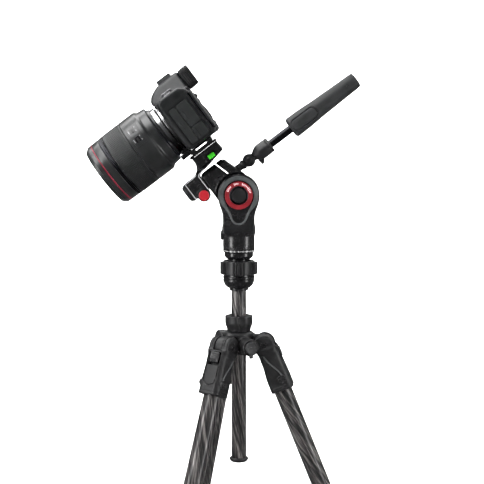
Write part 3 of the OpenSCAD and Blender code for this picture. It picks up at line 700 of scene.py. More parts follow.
def lock_mesh(start, end, outer, above, above_end, below):
    """Twist lock: a rubber sleeve with raised lugs, and smooth collars above and below it."""
    def lugs(a, t, r):
        inside = np.clip(np.minimum(a + end - 4, -start - 2.4 - a) / 0.7, 0, 1)
        wave = np.clip(np.cos(12 * t) * 2.2 + 0.4, -1, 1)
        return np.where(r > outer - 2.4, r - inside * (0.75 - 0.75 * wave) * 0.62, r)
    steps = [(-end, below + 0.35), (-end, outer - 2.4), (-end + 1.8, outer - 0.5),
             (-end + 3.6, outer - 0.5)]
    rows = [(-end + 4 + (end - start - 7) * k / 6, outer) for k in range(7)]
    top = [(-start - 2.2, outer - 0.4), (-start, outer - 1.4), (-start, above + 0.35),
           (-above_end - 0.35, above + 0.35), (-above_end - 0.35, below + 0.35)]
    return lathe(steps + rows + top, "z", 240, lugs, 0.3, hollow=True)


UPPER_LOCK = lock_mesh(292, 318, 16, 12.3, 300, 10.5)
LOWER_LOCK = lock_mesh(320, 344, 14.2, 10.5, 328, 8.7)
FOOT = lathe([(-378, 0.05), (-377.9, 2.4), (-376.6, 6.4), (-373.6, 9.6), (-369.6, 11.6), (-366, 12),
              (-363.6, 11.8), (-362.6, 10.6), (-361.6, 11.3), (-358.4, 10.9), (-357.4, 10.0),
              (-352.5, 10.2), (-348, 9.9), (-348, 8.8), (-352, 8.75)], "z", 96, None, 0.5)

# socket liner seen round the tube where it leaves the casting
LINER = tube(-65.2, -62, 12.9, 12.35, "z")

# piece, mesh, body, material, replaced nodes, share of the faces kept; every name follows the leg's
LEG_PIECES = (
    ("leg_casting", SHOULDER, "leg", "shoulder", ("leg_shoulder",), 0.45),
    ("leg_ridges", RIDGE, "leg", "cast_grey", (), 0.5),
    ("selector_button", SELECTOR, "selector", "satin", ("leg_angle_selector",), 0.6),
    ("upper_carbon", UPPER_TUBE, "leg", "carbon", ("leg_upper_tube",), None),
    ("middle_carbon", MIDDLE_TUBE, "middle", "carbon", ("leg_middle_tube",), None),
    ("lower_carbon", LOWER_TUBE, "lower", "carbon", ("leg_lower_tube",), None),
    ("upper_twist_sleeve", UPPER_LOCK, "upper_lock", "rubber", ("leg_upper_lock",), None),
    ("lower_twist_sleeve", LOWER_LOCK, "lower_lock", "rubber", ("leg_lower_lock",), None),
    ("rubber_foot", FOOT, "lower", "rubber", ("leg_foot",), None),
    ("socket_liner", LINER, "leg", "satin", (), None),
)
for leg in LEGS:
    place = leg_frame(leg)
    for name, mesh, body, material, nodes, keep in LEG_PIECES:
        piece(f"{leg}_{name}", mesh, place, f"{leg}_{body}", material, *(f"{leg}_{node}" for node in nodes),
              crease=50 if keep else 38, keep=keep)


# -------- centre column

def collar_field(x, y, z):
    """Flared knob with three grooves that twist as they rise."""
    up = np.clip((z + 181) / 20.8, 0, 1)
    r, t = hypot(x, y), np.arctan2(y, x)
    rise = np.clip(up * 1.7, 0, 1)
    edge = 15.6 + 2.9 * rise * rise * (3 - 2 * rise)
    centre = math.radians(-79) - 0.28 * up
    off = np.mod(t - centre + math.pi / 3, 2 * math.pi / 3) - math.pi / 3
    arc = off * 18
    edge = edge - 1.5 * np.exp(-(arc / 1.3) ** 2) - 1.2 * np.exp(-((arc - 4.5) / 4.0) ** 2) * up
    f = (r - edge) * 0.85
    f = meet(f, abs(z + 170.6) - 10.4, 1.2)
    return cut(f, r - 10.4, 0.4)


sculpt("column_twist_collar", collar_field, (-20, -20, -183), (20, 20, -158), 0.6, HEAD, "collar",
       "shoulder", "column_collar", keep=0.5)
piece("column_carbon", tube(-353.5, -122.9, 10, 8.5, "z", 96), HEAD, "column", "carbon", "centre_column")
end_cap = [(-359, 0.05), (-359, 8.4), (-358.2, 10.8), (-355.9, 12.5), (-354.6, 12.8),
           (-353.6, 12.4), (-353.4, 10.6), (-352.6, 10.1), (-352.2, 8.4), (-342, 8.3)]
piece("column_foot_cap", lathe(end_cap, "z", 96, None, 0.4), HEAD, "column", "plastic",
      "column_end_cap")

# -------- levelling base

bowl = [(-126.4, 10.1), (-126.4, 12.2), (-125.8, 12.8), (-122.9, 12.8), (-122.4, 15.4),
        (-119.0, 18.7), (-113.4, 20.9), (-111.6, 21.0), (-111.1, 20.2), (-110.3, 20.2),
        (-109.8, 21.0), (-107.6, 21.1), (-107.0, 20.4), (-107.0, 19), (-101.3, 19),
        (-101.3, 17.5), (-107, 17.2)]
piece("levelling_bowl_turning", lathe(bowl, "z", 128, None, 0.35), HEAD, "column",
      "satin", "levelling_bowl")


def ring_field(x, y, z):
    r, t = hypot(x, y), np.arctan2(y, x)
    f = disc_field(z, x, y, -105, -86.8, 20.6, 1.0)
    step = 2 * math.pi / 5
    a = (t + math.pi / 2 + step / 2) % step - step / 2
    side = r * np.sin(a)
    lobe = box_field(r * np.cos(a), side, z, (14, -5.5, -104.9), (24.7, 5.5, -87.6), 1.6)
    f = join(f, lobe, 0.8)
    # hoop-shaped groove on the outside of each lobe
    hoop = abs(flat_box(side, z, -2.7, 2.7, -110, -90.2, 2.2)) - 0.5
    f = cut(f, both(hoop, 24.0 - r), 0.3)
    # grooves where the lobes meet the ring
    f = cut(f, both(abs(abs(side) - 6.2) - 0.35, 20.0 - r), 0.3)
    f = cut(f, both(r - 16.3, -98.5 - z), 0.5)
    return cut(f, both(r - 19.35, z + 101.0), 0.4)


sculpt("levelling_ring_casting", ring_field, (-26, -26, -107), (26, 26, -85), 0.7, HEAD, "level_ring",
       "plastic", "levelling_ring", keep=0.5, slot="cast_black")
base = [(-107, 0.05), (-108, 9), (-106.5, 14.1), (-103, 16.2), (-98, 17), (-92.5, 15.8),
        (-88.4, 13.8), (-84.4, 13.7), (-84.2, 16.2), (-83.2, 17.3), (-81.4, 18.6), (-80.2, 19),
        (-76.2, 19), (-75.8, 19.4), (-75.4, 20.6), (-74.9, 21.0), (-71.7, 21.1), (-71.3, 20.6),
        (-71.3, 0.05)]
piece("base_turning", lathe(base, "z", 128, None, 0.3), HEAD, "level_base", "satin", "head_base")


def strip_ticks():
    """Scale printed round the band under the stem."""
    meshes = []
    for i in range(72):
        tall = 1.9 if i % 6 == 0 else (1.3 if i % 3 == 0 else 0.8)
        wide = 0.34 if i % 3 else 0.5
        bar = block(20.95, 21.2, -wide / 2, wide / 2, -73.3 - tall / 2, -73.3 + tall / 2)
        meshes.append(turned(bar, rot_z(i * 5)))
    return joined(*meshes)


piece("pan_scale_ticks", strip_ticks(), HEAD, "level_base", "print_white")


# -------- head stem

def stem_flat(x, z):
    f = hypot(x, z) - 27.5
    return join(f, flat_box(x, z, -21.0, 21.0, -60, -6, 6), 9)


def stem_field(x, y, z):
    base = disc_field(z, x, y, -71, -42, 21.1, 0.7)
    # front and back of the stem narrow from the round base to the flat cheeks
    narrow = np.interp(z, [-46, -40, -24, 0], [21.5, 20.2, 15.5, 15.5])
    head = meet(stem_flat(x, z), abs(y) - narrow, 2.2)
    head = meet(head, -50 - z, 1)
    f = join(base, head, 5)
    # sunk panel round the dial, inside a raised rim
    inner = drop(x, z, 19.4, 8.6, 27.2)
    f = cut(f, both(inner, 14.3 - abs(y)), 0.4)
    groove = abs(z + 69.2) - 0.25
    f = cut(f, both(groove, 20.6 - hypot(x, y)), 0.2)
    f = cut(f, both(hypot(x, z) - 28.2, abs(y) - 8.0), 0.5)
    f = cut(f, both(-29 - z, abs(y) - 8.0), 0.5)
    knob = hypot(y, z + 53.2)
    f = cut(f, both(knob - 7.3, x + 17.6), 0.3)
    return cut(f, both(knob - 3.1, x + 8), 0.2)


sculpt("stem_casting", stem_field, (-29, -23, -72), (29, 23, 29), 0.9, *STEM, "cast", "head_stem", keep=0.5)


def rim_flat(x, z):
    inner = drop(x, z, 19.6, 8.8, 27.2)
    outer = join(hypot(x, z) - 25.6, drop(x, z, 22.0, 11.2, 27.4), 3)
    return meet(outer, -inner, 0.5)


def rim_field(s):
    def field(x, y, z):
        # follows the cheek outwards where the stem widens below it
        narrow = np.interp(z, [-46, -40, -24, 0], [21.3, 20.0, 15.5, 15.5])
        shell = abs(s * y - narrow + 0.2) - 0.75
        return meet(rim_flat(x, z), shell, 0.7)
    return field


for s, side in NEAR_AND_FAR:
    low, high = sorted((s * 13.5, s * 21))
    sculpt(side + "_cheek_rim", rim_field(s), (-28, low, -41), (28, high, 28), 0.6, *STEM, "cast_grey",
           keep=0.5)
    # cap of the tilt axle, with the dark button in the middle of it
    cap = mirrored(s, [(13.5, 6), (13.5, 11.8), (18.2, 12.0), (18.6, 11.3), (18.3, 10.4), (18.2, 9.7),
                       (17.9, 0.05)])
    piece(side + "_axle_cap", lathe(cap, "y", 96, None, 0.2), *STEM, "anodised",
          *(("tilt_axle",) if s < 0 else ()))
    button = mirrored(s, [(17, 9.2), (19.0, 9.4), (19.7, 8.8), (19.9, 7.2), (19.75, 4), (19.7, 0.05)])
    piece(side + "_axle_button", lathe(button, "y", 96, None, 0.4), *STEM, "plastic")
piece("axle_rod", lathe([(-18, 6), (18, 6)], "y", 64), *STEM, "steel")


def dial_waves(a, t, r):
    """Sixty shallow waves round the rim of the dial."""
    return np.where(r > 17, r - 0.22 * (0.5 - 0.5 * np.cos(60 * t)), r)


piece("red_drag_dial", tube(-18.1, -15.7, 18.3, 12.35, "y", 240, 0.45, dial_waves), HEAD, "drag_dial",
      "red_dial", "tilt_dial")
# four groups of ticks: how many, and the angles of the first and the last
DIAL_TICKS = ((5, 158, 134), (4, 112, 94), (6, 72, 36), (3, 29, 15))
piece("red_dial_ticks", joined(*[dots(count, 15.5, a, b, -18.1, 0.62, 2.0) for count, a, b in DIAL_TICKS]),
      HEAD, "drag_dial", "print_pink")
knob = [(-24, 0.05), (-24, 5.2), (-23.2, 6.5), (-17.4, 6.7), (-17.2, 5.6), (-17.2, 3), (-9, 3)]
piece("pan_knob_turning", joined(lathe(knob, "x", 144, flutes(24, 0.45, -23.2, -17.6), 0.3),
                                 block(-24.35, -23.9, -3.6, 3.6, -0.7, 0.7)), HEAD, "pan_knob", "plastic",
      "pan_lock_knob", at=(0, 0, -53.2))


# -------- tilt block

ROLL_Z = 41  # the roll axis above the tilt axis

BLOCK = [(-25.4, 20), (-25.4, 40), (-24.9, 48.6), (-22.4, 51.4), (-13, 52), (0, 52), (8.6, 51.6),
         (12.6, 48.6), (17.5, 33), (22.5, 18), (25.9, 2), (20, -8), (0, -14), (-20, -8), (-25.8, 4)]


def block_field(x, y, z):
    ring = hypot(x, z) - 26.0
    # below the tilt axis the block is round
    flat = meet(join(ring, outline_field(x, z, BLOCK), 3), np.where(z < 0, ring, -99), 0.3)
    core = thick(flat, y, 7.6, 1.0)
    # the part above the cheeks is wider and holds the roll axle
    upper = both(flat, 29.0 - hypot(x, z))
    wide = thick(upper, y, 10.9, 2.2)
    f = join(core, wide, 1.2)
    # round about the roll axis above it, straight below
    housing = np.where(z > ROLL_Z, hypot(y, z - ROLL_Z), abs(y)) - 10.95
    f = meet(f, housing, 1.2)
    # sunk flank panels that leave a bright ridge along the top edge
    inner = flat + 2.6
    f = cut(f, both(inner, 31.5 - hypot(x, z), 10.2 - abs(y)), 0.5)
    f = cut(f, disc_field(y, x, z, -30, 30, 6.05, 0.1), 0.3)
    slit = outline_field(x, z, [(-3.8, 60), (-1.9, 60), (6.4, 31.4), (5.2, 30.6), (4.3, 31)])
    f = cut(f, slit, 0.3)
    f = cut(f, both(hypot(x + 6.5, z - 31.7) - 2.1, 8.2 - abs(y)), 0.3)
    return cut(f, both(hypot(y, z - 28.1) - 5.05, 15 - x), 0.2)


sculpt("tilt_block_casting", block_field, (-28, -12, -27), (28, 12, 54), 0.8, *TILTING, "cast",
       "tilt_block", keep=0.5)
axle = [(-48, 0.05), (-48, 4.4), (-47.4, 5), (-24, 5)]
piece("roll_axle", lathe(axle, "x", 64, None, 0.2), *TILTING, "steel", at=(0, 0, ROLL_Z))
for s, side in NEAR_AND_FAR:
    piece(side + "_block_screw", bolt((s * 8.2, s * 9.4), 1.9, 0.9), *TILTING, "steel", at=(-6.5, 0, 31.7))

# -------- roll bracket and quick release

BADGE = (-36.4, 0, 27.1)
LEVER_X = 14
LEVER_Y = 26.6

BRACKET = [(-49, 28.8), (-40, 28.8), (-30, 27.6), (-25.9, 30), (-25.9, 50.2), (-24.4, 51.8), (-19, 53.2),
           (-8, 54.6), (5, 57.4), (19, 59.9), (19.6, 63), (18.6, 74.4), (19.8, 75), (19.8, 78), (-21.8, 78),
           (-21.8, 75), (-20, 74.0), (-20.2, 66), (-22.4, 61), (-25.8, 57.6), (-31, 55), (-36, 54.3),
           (-49, 54.3)]


def from_badge(x, z):
    return hypot(x - BADGE[0], z - BADGE[2])


def bracket_field(x, y, z):
    flat = outline_field(x, z, BRACKET)
    flat = join(flat, from_badge(x, z) - 8.5, 1.5)
    half = np.interp(z, [55.6, 58.6], [12.4, 22.0])
    f = meet(flat, abs(y) - half, 1.2)
    # layered front box: sunk panel parallel to its edge
    panel = both(flat + 2.3, x + 27)
    f = cut(f, both(panel, -(from_badge(x, z) - 9.3), 11.5 - abs(y)), 0.4)
    f = cut(f, both(abs(panel + 2.0) - 0.3, 11.0 - abs(y)), 0.3)
    # facet of the left arm and the pocket round the vial
    arm = both(outline_field(x, z, [(-20, 58), (-8, 57), (-6, 74), (-18.5, 73.5)]), 21.2 - abs(y))
    f = cut(f, arm, 0.8)
    f = cut(f, box_field(x, y, z, (-3.6, -30, 58.6), (10.2, -19.6, 67.4), 0.8), 0.4)
    f = cut(f, both(hypot(y, z - ROLL_Z) - 5.05, x + 20), 0.2)
    f = cut(f, both(hypot(y, z - ROLL_Z) - 11.4, -26 - x), 0.3)
    channel = outline_field(x, z, [(-18.6, 74.5), (17.8, 74.5), (15.1, 79), (-15.9, 79)])
    f = cut(f, channel, 0.2)
    shelf = box_field(x, y, z, (9, 17, 60), (19, 26.6, 62), 0.4)
    shelf = join(shelf, disc_field(z, x - LEVER_X, y - LEVER_Y, 60, 62, 5, 0.3), 0.4)
    return join(f, join(shelf, disc_field(z, x - LEVER_X, y - LEVER_Y, 61, 70.5, 2.2, 0.3), 0.3), 0.4)


sculpt("bracket_casting", bracket_field, (-51, -24, 17), (22, 34, 80), 0.8, *ROLLING, "satin",
       "roll_bracket", keep=0.5)


def painted_highlight_line_field(x, y, z):
    """Fine raised line just inside the edge of the front box, coloured light grey as a painted highlight
    along that edge.
    """
    flat = outline_field(x, z, BRACKET)
    line = both(abs(flat + 1.25) - 0.42, 22 - from_badge(x, z) * 2.3)
    return both(line, z - 55.0, abs(abs(y) - 12.25) - 0.42)


# the line is light grey: a painted highlight where the front box's edge catches the light
sculpt("bracket_painted_highlight_lines", painted_highlight_line_field, (-51, -14, 26), (0, 14, 57), 0.5, *ROLLING, "print_grey", keep=0.5,
       slot="cast_black")
for s, side in NEAR_AND_FAR:
    disc = mirrored(s, [(11.4, 6.9), (12.5, 6.8), (12.9, 6.0), (12.95, 0.05)])
    piece(side + "_badge_disc", lathe(disc, "y", 96, None, 0.3), *ROLLING, "red_badge", at=BADGE)
roll_knob = [(-55.2, 0.05), (-55.2, 9.6), (-54.3, 11.2), (-52.4, 11.4), (-52.2, 12.6),
             (-49.6, 12.6), (-49.3, 11.6), (-49.3, 5)]
piece("roll_knob_turning", lathe(roll_knob, "x", 240, flutes(30, 0.6, -52.2, -49.5), 0.3), LEVEL,
      "roll_lock", "plastic", "roll_knob", at=(0, 0, ROLL_Z))

LEVER = [(15, 24.0), (16, 29.6), (8, 30.6), (-6, 30.4), (-16, 33.6), (-18, 31.4), (-8, 26.4), (4, 24.6)]


def lever_field(x, y, z):
    f = meet(outline_field(x, y, LEVER), abs(z - 66.15) - 3.8, 1.0)
    f = join(f, disc_field(z, x - LEVER_X, y - LEVER_Y, 62.3, 70, 4.2, 0.6), 1)
    f = cut(f, both(hypot(x + 4, y - 32.4) - 3.2, abs(z - 66.15) - 2.2), 0.5)
    return cut(f, hypot(x - LEVER_X, y - LEVER_Y) - 2.25, 0.1)


sculpt("lever_casting", lever_field, (-20, 21, 61), (20, 36, 71), 0.6, LEVEL, "lever", "satin",
       "quick_release_lever", keep=0.5)

PLATE = [(-18.1, 74.7), (17.3, 74.7), (14.7, 78.3), (16.6, 78.3), (16.6, 84), (-17.4, 84), (-17.4, 78.3),
         (-15.5, 78.3)]


def plate_field(x, y, z):
    f = thick(outline_field(x, z, PLATE), y, 24, 0.35)
    f = cut(f, thick(flat_box(x, z, -10.6, 8.6, 79.8, 81.5, 0.5), y, 40, 0.1), 0.2)
    # stop in front of the camera, under the lens mount
    stop = box_field(x, y, z, (-30.5, -11, 79.8), (-16.4, 11, 86.4), 0.8)
    stop = join(stop, box_field(x, y, z, (-24.6, -11, 82), (-14.6, 11, 88.6), 0.8), 0.8)
    f = join(f, stop, 0.5)
    return join(f, disc_field(z, x - 12, y, 83, 89, 3.1, 0.4), 0.3)


sculpt("plate_casting", plate_field, (-32, -25, 74), (18, 25, 90), 0.6, *CAMERA, "satin",
       "quick_release_plate", keep=0.5, slot="anodised_black")
piece("plate_rubber_pads", joined(block(-16.2, -12.0, -23, 23, 83.6, 84.05),
                                  block(-6, 8, -22.4, 22.4, 83.6, 84.05)), *CAMERA, "rubber", bevel=0.15)

VIAL = (0, -20.8, 62.8)
vial_tube = [(-2.5, 0.05), (-2.5, 2.6), (-2.0, 3.05), (8.2, 3.05), (8.7, 2.6), (8.7, 0.05)]
piece("green_vial", lathe(vial_tube, "x", 64, None, 0.2), *ROLLING, "vial", "bubble_level", at=VIAL)
caps = []
for u in (-3.2, 7.8):
    caps.append(lathe([(u, 0.05), (u, 3.3), (u + 1.6, 3.3), (u + 1.6, 0.05)], "x", 48, None, 0.15))
piece("vial_end_caps", joined(*caps), *ROLLING, "satin", at=VIAL)
marks = [tube(u, u + 0.35, 3.12, 3.0, "x", 48, 0.03) for u in (1.6, 4.6)]
piece("vial_marks", joined(*marks), *ROLLING, "satin", at=VIAL)


# -------- handle: local X runs backwards from the tilt axis, and the handle's axis is at z = 0

def knuckle_field(x, y, z):
    f = disc_field(x, y, z, 15, 31, 5, 0.5)
    f = join(f, disc_field(x, y, z, 26.4, 30.4, 6.2, 0.6), 0.5)
    ear = join(disc_field(y, x - KNUCKLE, z, -6.6, 6.6, 8.5, 0.9),
               box_field(x, y, z, (28, -6.6, -4.6), (KNUCKLE, 6.6, 4.6), 1), 1.5)
    f = join(f, ear, 1.0)
    f = cut(f, disc_field(y, x - KNUCKLE, z, -3.3, 3.3, 9.2, 0.2), 0.2)
    f = cut(f, box_field(x, y, z, (KNUCKLE - 2, -3.3, -12), (KNUCKLE + 12, 3.3, 12), 0.2), 0.2)
    # ring groove round the bolt
    return cut(f, both(abs(hypot(x - KNUCKLE, z) - 6.2) - 0.4, 6.0 - abs(y)), 0.2)


sculpt("knuckle_fork", knuckle_field, (14, -8, -10), (48, 8, 10), 0.55, HANDLE, "tilt_body", "satin",
       "handle_socket", keep=0.6)
pivot = through_bolt(6.7, 3.5, 48, 6.2, 7.6, 4.3, 1.9)
piece("knuckle_bolt", pivot, HANDLE, "tilt_body", "satin", at=(KNUCKLE, 0, 0))


def socket_field(x, y, z):
    # faceted sleeve that starts narrow behind the knuckle
    r = np.interp(x, [46.4, 49, 54, 57, 60, 72, 73.2], [6.0, 8.2, 10.7, 11.2, 11.3, 11.2, 10.6])
    facet = hypot(y, z)
    for k in range(6):
        a = math.radians(60 * k + 30)
        facet = both(facet, abs(y * math.cos(a) + z * math.sin(a)) + 0.7)
    f = meet(facet - r, abs(x - 60) - 13.2, 0.8)
    tongue = join(disc_field(y, x - KNUCKLE, z, -3.05, 3.05, 8, 0.5),
                  box_field(x, y, z, (KNUCKLE, -3.05, -5.4), (50, 3.05, 5.4), 0.6), 1)
    f = join(f, tongue, 1.2)
    spur = thick(outline_field(x, z, [(47.6, -7.5), (48.6, -14.6), (50.6, -15.3), (52.6, -14.4),
                                      (57.0, -8.5)]), y, 3.2, 0.8)
    f = join(f, spur, 1.2)
    f = cut(f, both(abs(x - 69.2) - 0.3, 10.6 - facet), 0.2)
    f = cut(f, both(hypot(y, z) - 5.45, 58 - x), 0.3)
    return cut(f, disc_field(y, x - KNUCKLE, z, -10, 10, 3.55, 0.1), 0.1)


sculpt("handle_sleeve", socket_field, (28, -13, -17), (75, 13, 13), 0.7, HANDLE, "handle", "plastic",
       "handle_collar", keep=0.55, slot="cast_black")
piece("handle_tube", lathe([(58, 5.35), (170, 5.35)], "x", 72), HANDLE, "handle", "anodised", "handle_rod")


def grip_field(x, y, z):
    r = np.interp(x, [105, 106.4, 109, 128, 150, 190, 210, 213],
                  [10.6, 12.2, 14.3, 14.0, 12.6, 11.3, 10.8, 9.8])
    wide = np.sqrt(y * y * 1.02 + z * z)
    f = meet(wide - r, abs(x - 159.5) - 53.3, 1.6)
    # thumb pads let into the near and far sides, a pin hole and a ring near the end
    pad = flat_box(x, z, 109, 147, -7.4, 7.4, 6)
    f = cut(f, both(abs(pad) - 0.65, r - 1.4 - wide), 0.4)
    f = cut(f, both(pad, r - 0.5 - wide), 0.6)
    f = cut(f, both(hypot(x - 197, z) - 1.1, r - 1.4 - abs(y)), 0.2)
    f = cut(f, both(abs(x - 208.6) - 0.4, r - 0.7 - wide), 0.3)
    return cut(f, both(hypot(y, z) - 5.45, x - 171), 0.2)


sculpt("rubber_grip", grip_field, (104, -16, -16), (214, 16, 16), 0.9, HANDLE, "grip", "grip",
       "handle_grip", keep=0.5)


# -------- camera: level frame, X backwards, Y to the grip side, Z up

# side outline of the body at the port side
SIDE = soften([(-15, 84), (32.4, 84), (32.4, 128), (31.6, 142), (28.5, 151), (20, 157.6), (8, 158.2),
               (-6, 158.2), (-13, 154.5), (-15, 147)], 6, 3, True)


def hand_field(x, y, z):
    """Bulge of the hand grip, leaning forwards towards the top."""
    lean = np.interp(z, [84, 130, 152], [-19, -22, -23.5])
    f = join(hypot(x - lean, y - 64) - 12.6, hypot(x + 10, y - 46) - 6, 12)
    f = join(f, flat_box(x, y, -16, 10, 60, 80, 8), 6)
    top = z - 150.5 - 0.12 * (x + 24)
    return meet(f, both(86.5 - z, top), 3.0)


def plain_body(x, y, z):
    """The body with its hand grip, rounded in plan as well as from the side."""
    f = meet(outline_field(x, z, SIDE), abs(y - 12) - 68, 5.5)
    f = meet(f, flat_box(x, y, -15, 32.4, -56, 80, 8), 1.5)
    return join(f, hand_field(x, y, z), 5)


def body_field(x, y, z):
    f = plain_body(x, y, z)
    # raised boss round the mount
    f = join(f, both(hypot(y, z - LENS_Z) - 38.5, abs(x + 6) - 10.6), 3.5)
    # finder hump: nose, roof and sloping flanks
    roof = outline_field(x, z, HUMP)
    flank = (abs(y) - 26 + (z - 152) * 0.52) * 0.88
    hump = meet(roof, flank, 5)
    f = join(f, hump, 3)
    # throat, screen bay, tripod socket, shoe seat
    f = cut(f, both(hypot(y, z - LENS_Z) - 27, abs(x + 15) - 12), 0.4)
    f = cut(f, box_field(x, y, z, (27.2, -62, 89.6), (50, 30.6, 144.9), 0.4), 0.4)
    f = cut(f, box_field(x, y, z, (2, -10.5, 175.9), (23.5, 10.5, 190), 0.3), 0.3)
    f = cut(f, both(hypot(x - 12, y) - 3.2, z - 89.4), 0.2)
    # seats of the port covers
    f = cut(f, thick(flat_box(x, z, -6.5, 22.1, 88.4, 140, 3.4), y + 56, 1.2, 0.2), 0.3)
    # slit behind the covers
    f = cut(f, thick(flat_box(x, z, 25.0, 26.6, 101.7, 127, 0.5), y + 56, 1.8, 0.1), 0.2)
    # room of the lens mount under the hump's nose
    f = cut(f, both(hypot(y, z - LENS_Z) - 34.4, x + 15), 0.3)
    # seam between the body and the top cover
    f = cut(f, both(abs(z - 146.2 - 0.05 * x) - 0.28, -f - 0.55), 0.15)
    # control wells on the top, grip side
    f = cut(f, both(hypot(x - 10, y - 62) - 10.6, 157.6 - z), 0.3)
    f = cut(f, both(hypot(x + 24, y - 64) - 5.4, 148.4 - z), 0.3)
    return f


HUMP = soften([(-19.3, 158.6), (-18.9, 164), (-14.6, 169.6), (-8, 173.6), (1, 176.8), (24, 177.6),
               (32.3, 176.4), (32.3, 140), (-10, 140), (-10, 152), (-16, 157)], 3, 3, True)

sculpt("camera_shell", body_field, (-37, -57, 83), (34, 81, 180), 1.15, *CAMERA, "shell", "camera_body",
       "camera_top_cover", keep=0.42)


def leather_field(x, y, z):
    """Textured covering of the grip and the front, a little proud of the shell."""
    f = plain_body(x, y, z) - 0.5
    front = both(y - 90, 38 - y)
    port = both(abs(y + 48) - 6, x + 6)
    region = np.minimum(both(front, x - 15), port)
    return meet(f, both(region, abs(z - 116) - 27, 40.2 - hypot(y, z - LENS_Z)), 0.5)


sculpt("camera_leatherette", leather_field, (-38, -58, 87), (18, 82, 146), 1.25, *CAMERA, "leather",
       keep=0.4)


def cover_mesh(x0, x1, z0, z1, r):
    def field(x, y, z):
        flat = flat_box(x, z, x0, x1, z0, z1, r)
        f = thick(flat, y + 56.1, 1.25, 0.45)
        # finger lip at one edge
        lip = thick(flat_box(x, z, x0 + 1.6, x0 + 4.2, (z0 + z1) / 2 - 6, (z0 + z1) / 2 + 6, 1.1), y + 57.2,
                    0.35, 0.2)
        return join(f, lip, 0.4)
    return surface_net(field, (x0 - 1, -59, z0 - 1), (x1 + 1, -54, z1 + 1), 0.5)


piece("port_covers_rubber", joined(cover_mesh(-6.4, 4.3, 88.5, 139.9, 3.2),
                                   cover_mesh(4.95, 22.0, 107.0, 139.9, 2.6),
                                   cover_mesh(4.95, 22.0, 88.5, 106.4, 2.6)), *CAMERA, "cover",
      "port_covers", crease=50, keep=0.35)


def eyecup_field(x, y, z):
    lean = (x - 32.4) * 0.12
    outer = flat_box(y, z, -18.6, 18.6, 147 + lean, 176.6, 6.5)
    grow = np.interp(x, [32.4, 36, 43, 47], [1.2, 0.2, -0.2, 0.3])
    f = meet(outer + grow, abs(x - 39.7) - 7.3, 1.5)
    f = cut(f, both(flat_box(y, z, -13.5, 13.5, 152.6, 171.4, 5), 36.5 - x), 1.2)
    for k in range(3):
        f = cut(f, both(abs(x - 36.6 - 2.8 * k) - 0.4, -(outer + 0.9)), 0.3)
    return f


sculpt("eyecup_rubber", eyecup_field, (31, -20, 145), (48, 20, 178), 0.8, *CAMERA, "rubber", "eyecup",
       keep=0.5)
piece("finder_glass", block(36.2, 36.8, -11, 11, 155, 169), *CAMERA, "gloss", bevel=0.2)

shoe = [block(2.2, 22.8, -10.3, 10.3, 175.9, 176.6)]
for s, _ in NEAR_AND_FAR:
    # upright of the rail and its lip
    for inner, bottom in ((9.2, 176.3), (6.6, 180.5)):
        y0, y1 = sorted((s * inner, s * 10.4))
        shoe.append(block(2.2, 22.8, y0, y1, bottom, 181.6))
piece("shoe_rails", joined(*shoe), *CAMERA, "steel", bevel=0.2)
contacts = []
for k in range(5):
    x, y = 9 + 3 * (k % 2), -5 + 2.5 * k
    contacts.append(block(x, x + 1.6, y - 0.7, y + 0.7, 176.5, 176.75))
piece("shoe_contacts", joined(*contacts), *CAMERA, "chrome", bevel=0.1)


def lug_field(x, y, z):
    """Eyelet for the strap, on the shoulder."""
    loop = (both(abs(x - 5.7) - 5.6, 0) ** 2 + (z - 162.3) ** 2) ** 0.5 - 2.5
    f = thick(both(loop, -flat_box(x, z, 1.2, 10.2, 161.1, 163.5, 1.1)), y, 1.3, 0.5)
    foot = box_field(x, y, z, (-1.2, -1.1, 157.4), (12.6, 1.1, 161), 0.5)
    return join(f, foot, 0.6)


lug_mesh = surface_net(lug_field, (-4, -3, 156), (15, 3, 166), 0.45)
for y, side in ((-43, "near"), (69, "far")):
    piece(side + "_strap_eyelet", lug_mesh, *CAMERA, "steel", crease=50, keep=0.5, at=(0, y, -2.2))


def screen_field(x, y, z):
    f = box_field(x, y, z, (27.6, -51.4, 90.1), (32.3, 29.9, 144.3), 0.8)
    f = cut(f, box_field(x, y, z, (31.9, -45, 94), (35, 24.5, 140.6), 0.3), 0.2)
    f = join(f, disc_field(z, x - 29.9, y + 51.5, 90.1, 144.3, 2.4, 0.4), 0.3)
    return join(f, disc_field(z, x - 29.9, y + 51.5, 87.8, 144.9, 1.2, 0.2), 0.1)


sculpt("screen_frame", screen_field, (27, -55, 87), (33, 31, 146), 0.7, LEVEL, "camera_screen", "satin",
       "screen", keep=0.4, slot="screen_gloss")
piece("screen_glass", block(31.6, 32.1, -44.6, 24.1, 94.4, 140.2), LEVEL, "camera_screen", "gloss",
      bevel=0.15)

# rear controls on the grip side
wheel = [(31, 0.05), (31, 10.4), (32.9, 10.2), (33.2, 9.4), (33.1, 5.4), (33.5, 5.0), (33.5, 0.05)]
piece("rear_wheel", lathe(wheel, "x", 144, flutes(36, 0.3, 31.2, 33.4), 0.2), *CAMERA, "plastic",
      at=(0, 55, 112))
# buttons: y, z and radius; those above the screen lie further in
REAR_BUTTONS = ((42, 148, 2.6), (50, 133, 2.4), (62, 131, 2.4), (42, 96, 2.4), (52, 95, 2.4), (62, 95, 2.4),
                (-44, 150, 2.2), (-36, 150, 2.2))
buttons = []
for y, z, r in REAR_BUTTONS:
    profile = [(28, 0.05), (28, r + 0.4), (32.2, r + 0.4), (32.5, r), (32.9, r - 0.4), (33.0, 0.05)]
    buttons.append(turned(lathe(profile, "x", 40, None, 0.2), shift(-1.2 if z > 140 else 0, y, z)))
piece("rear_buttons", joined(*buttons), *CAMERA, "plastic")
stick = lathe([(30, 0.05), (30, 4.6), (32.9, 4.2), (33.1, 2.6), (34.4, 2.8), (34.7, 1.6), (34.7, 0.05)],
              "x", 64, None, 0.3)
piece("rear_joystick", stick, *CAMERA, "rubber", at=(0, 44, 139))

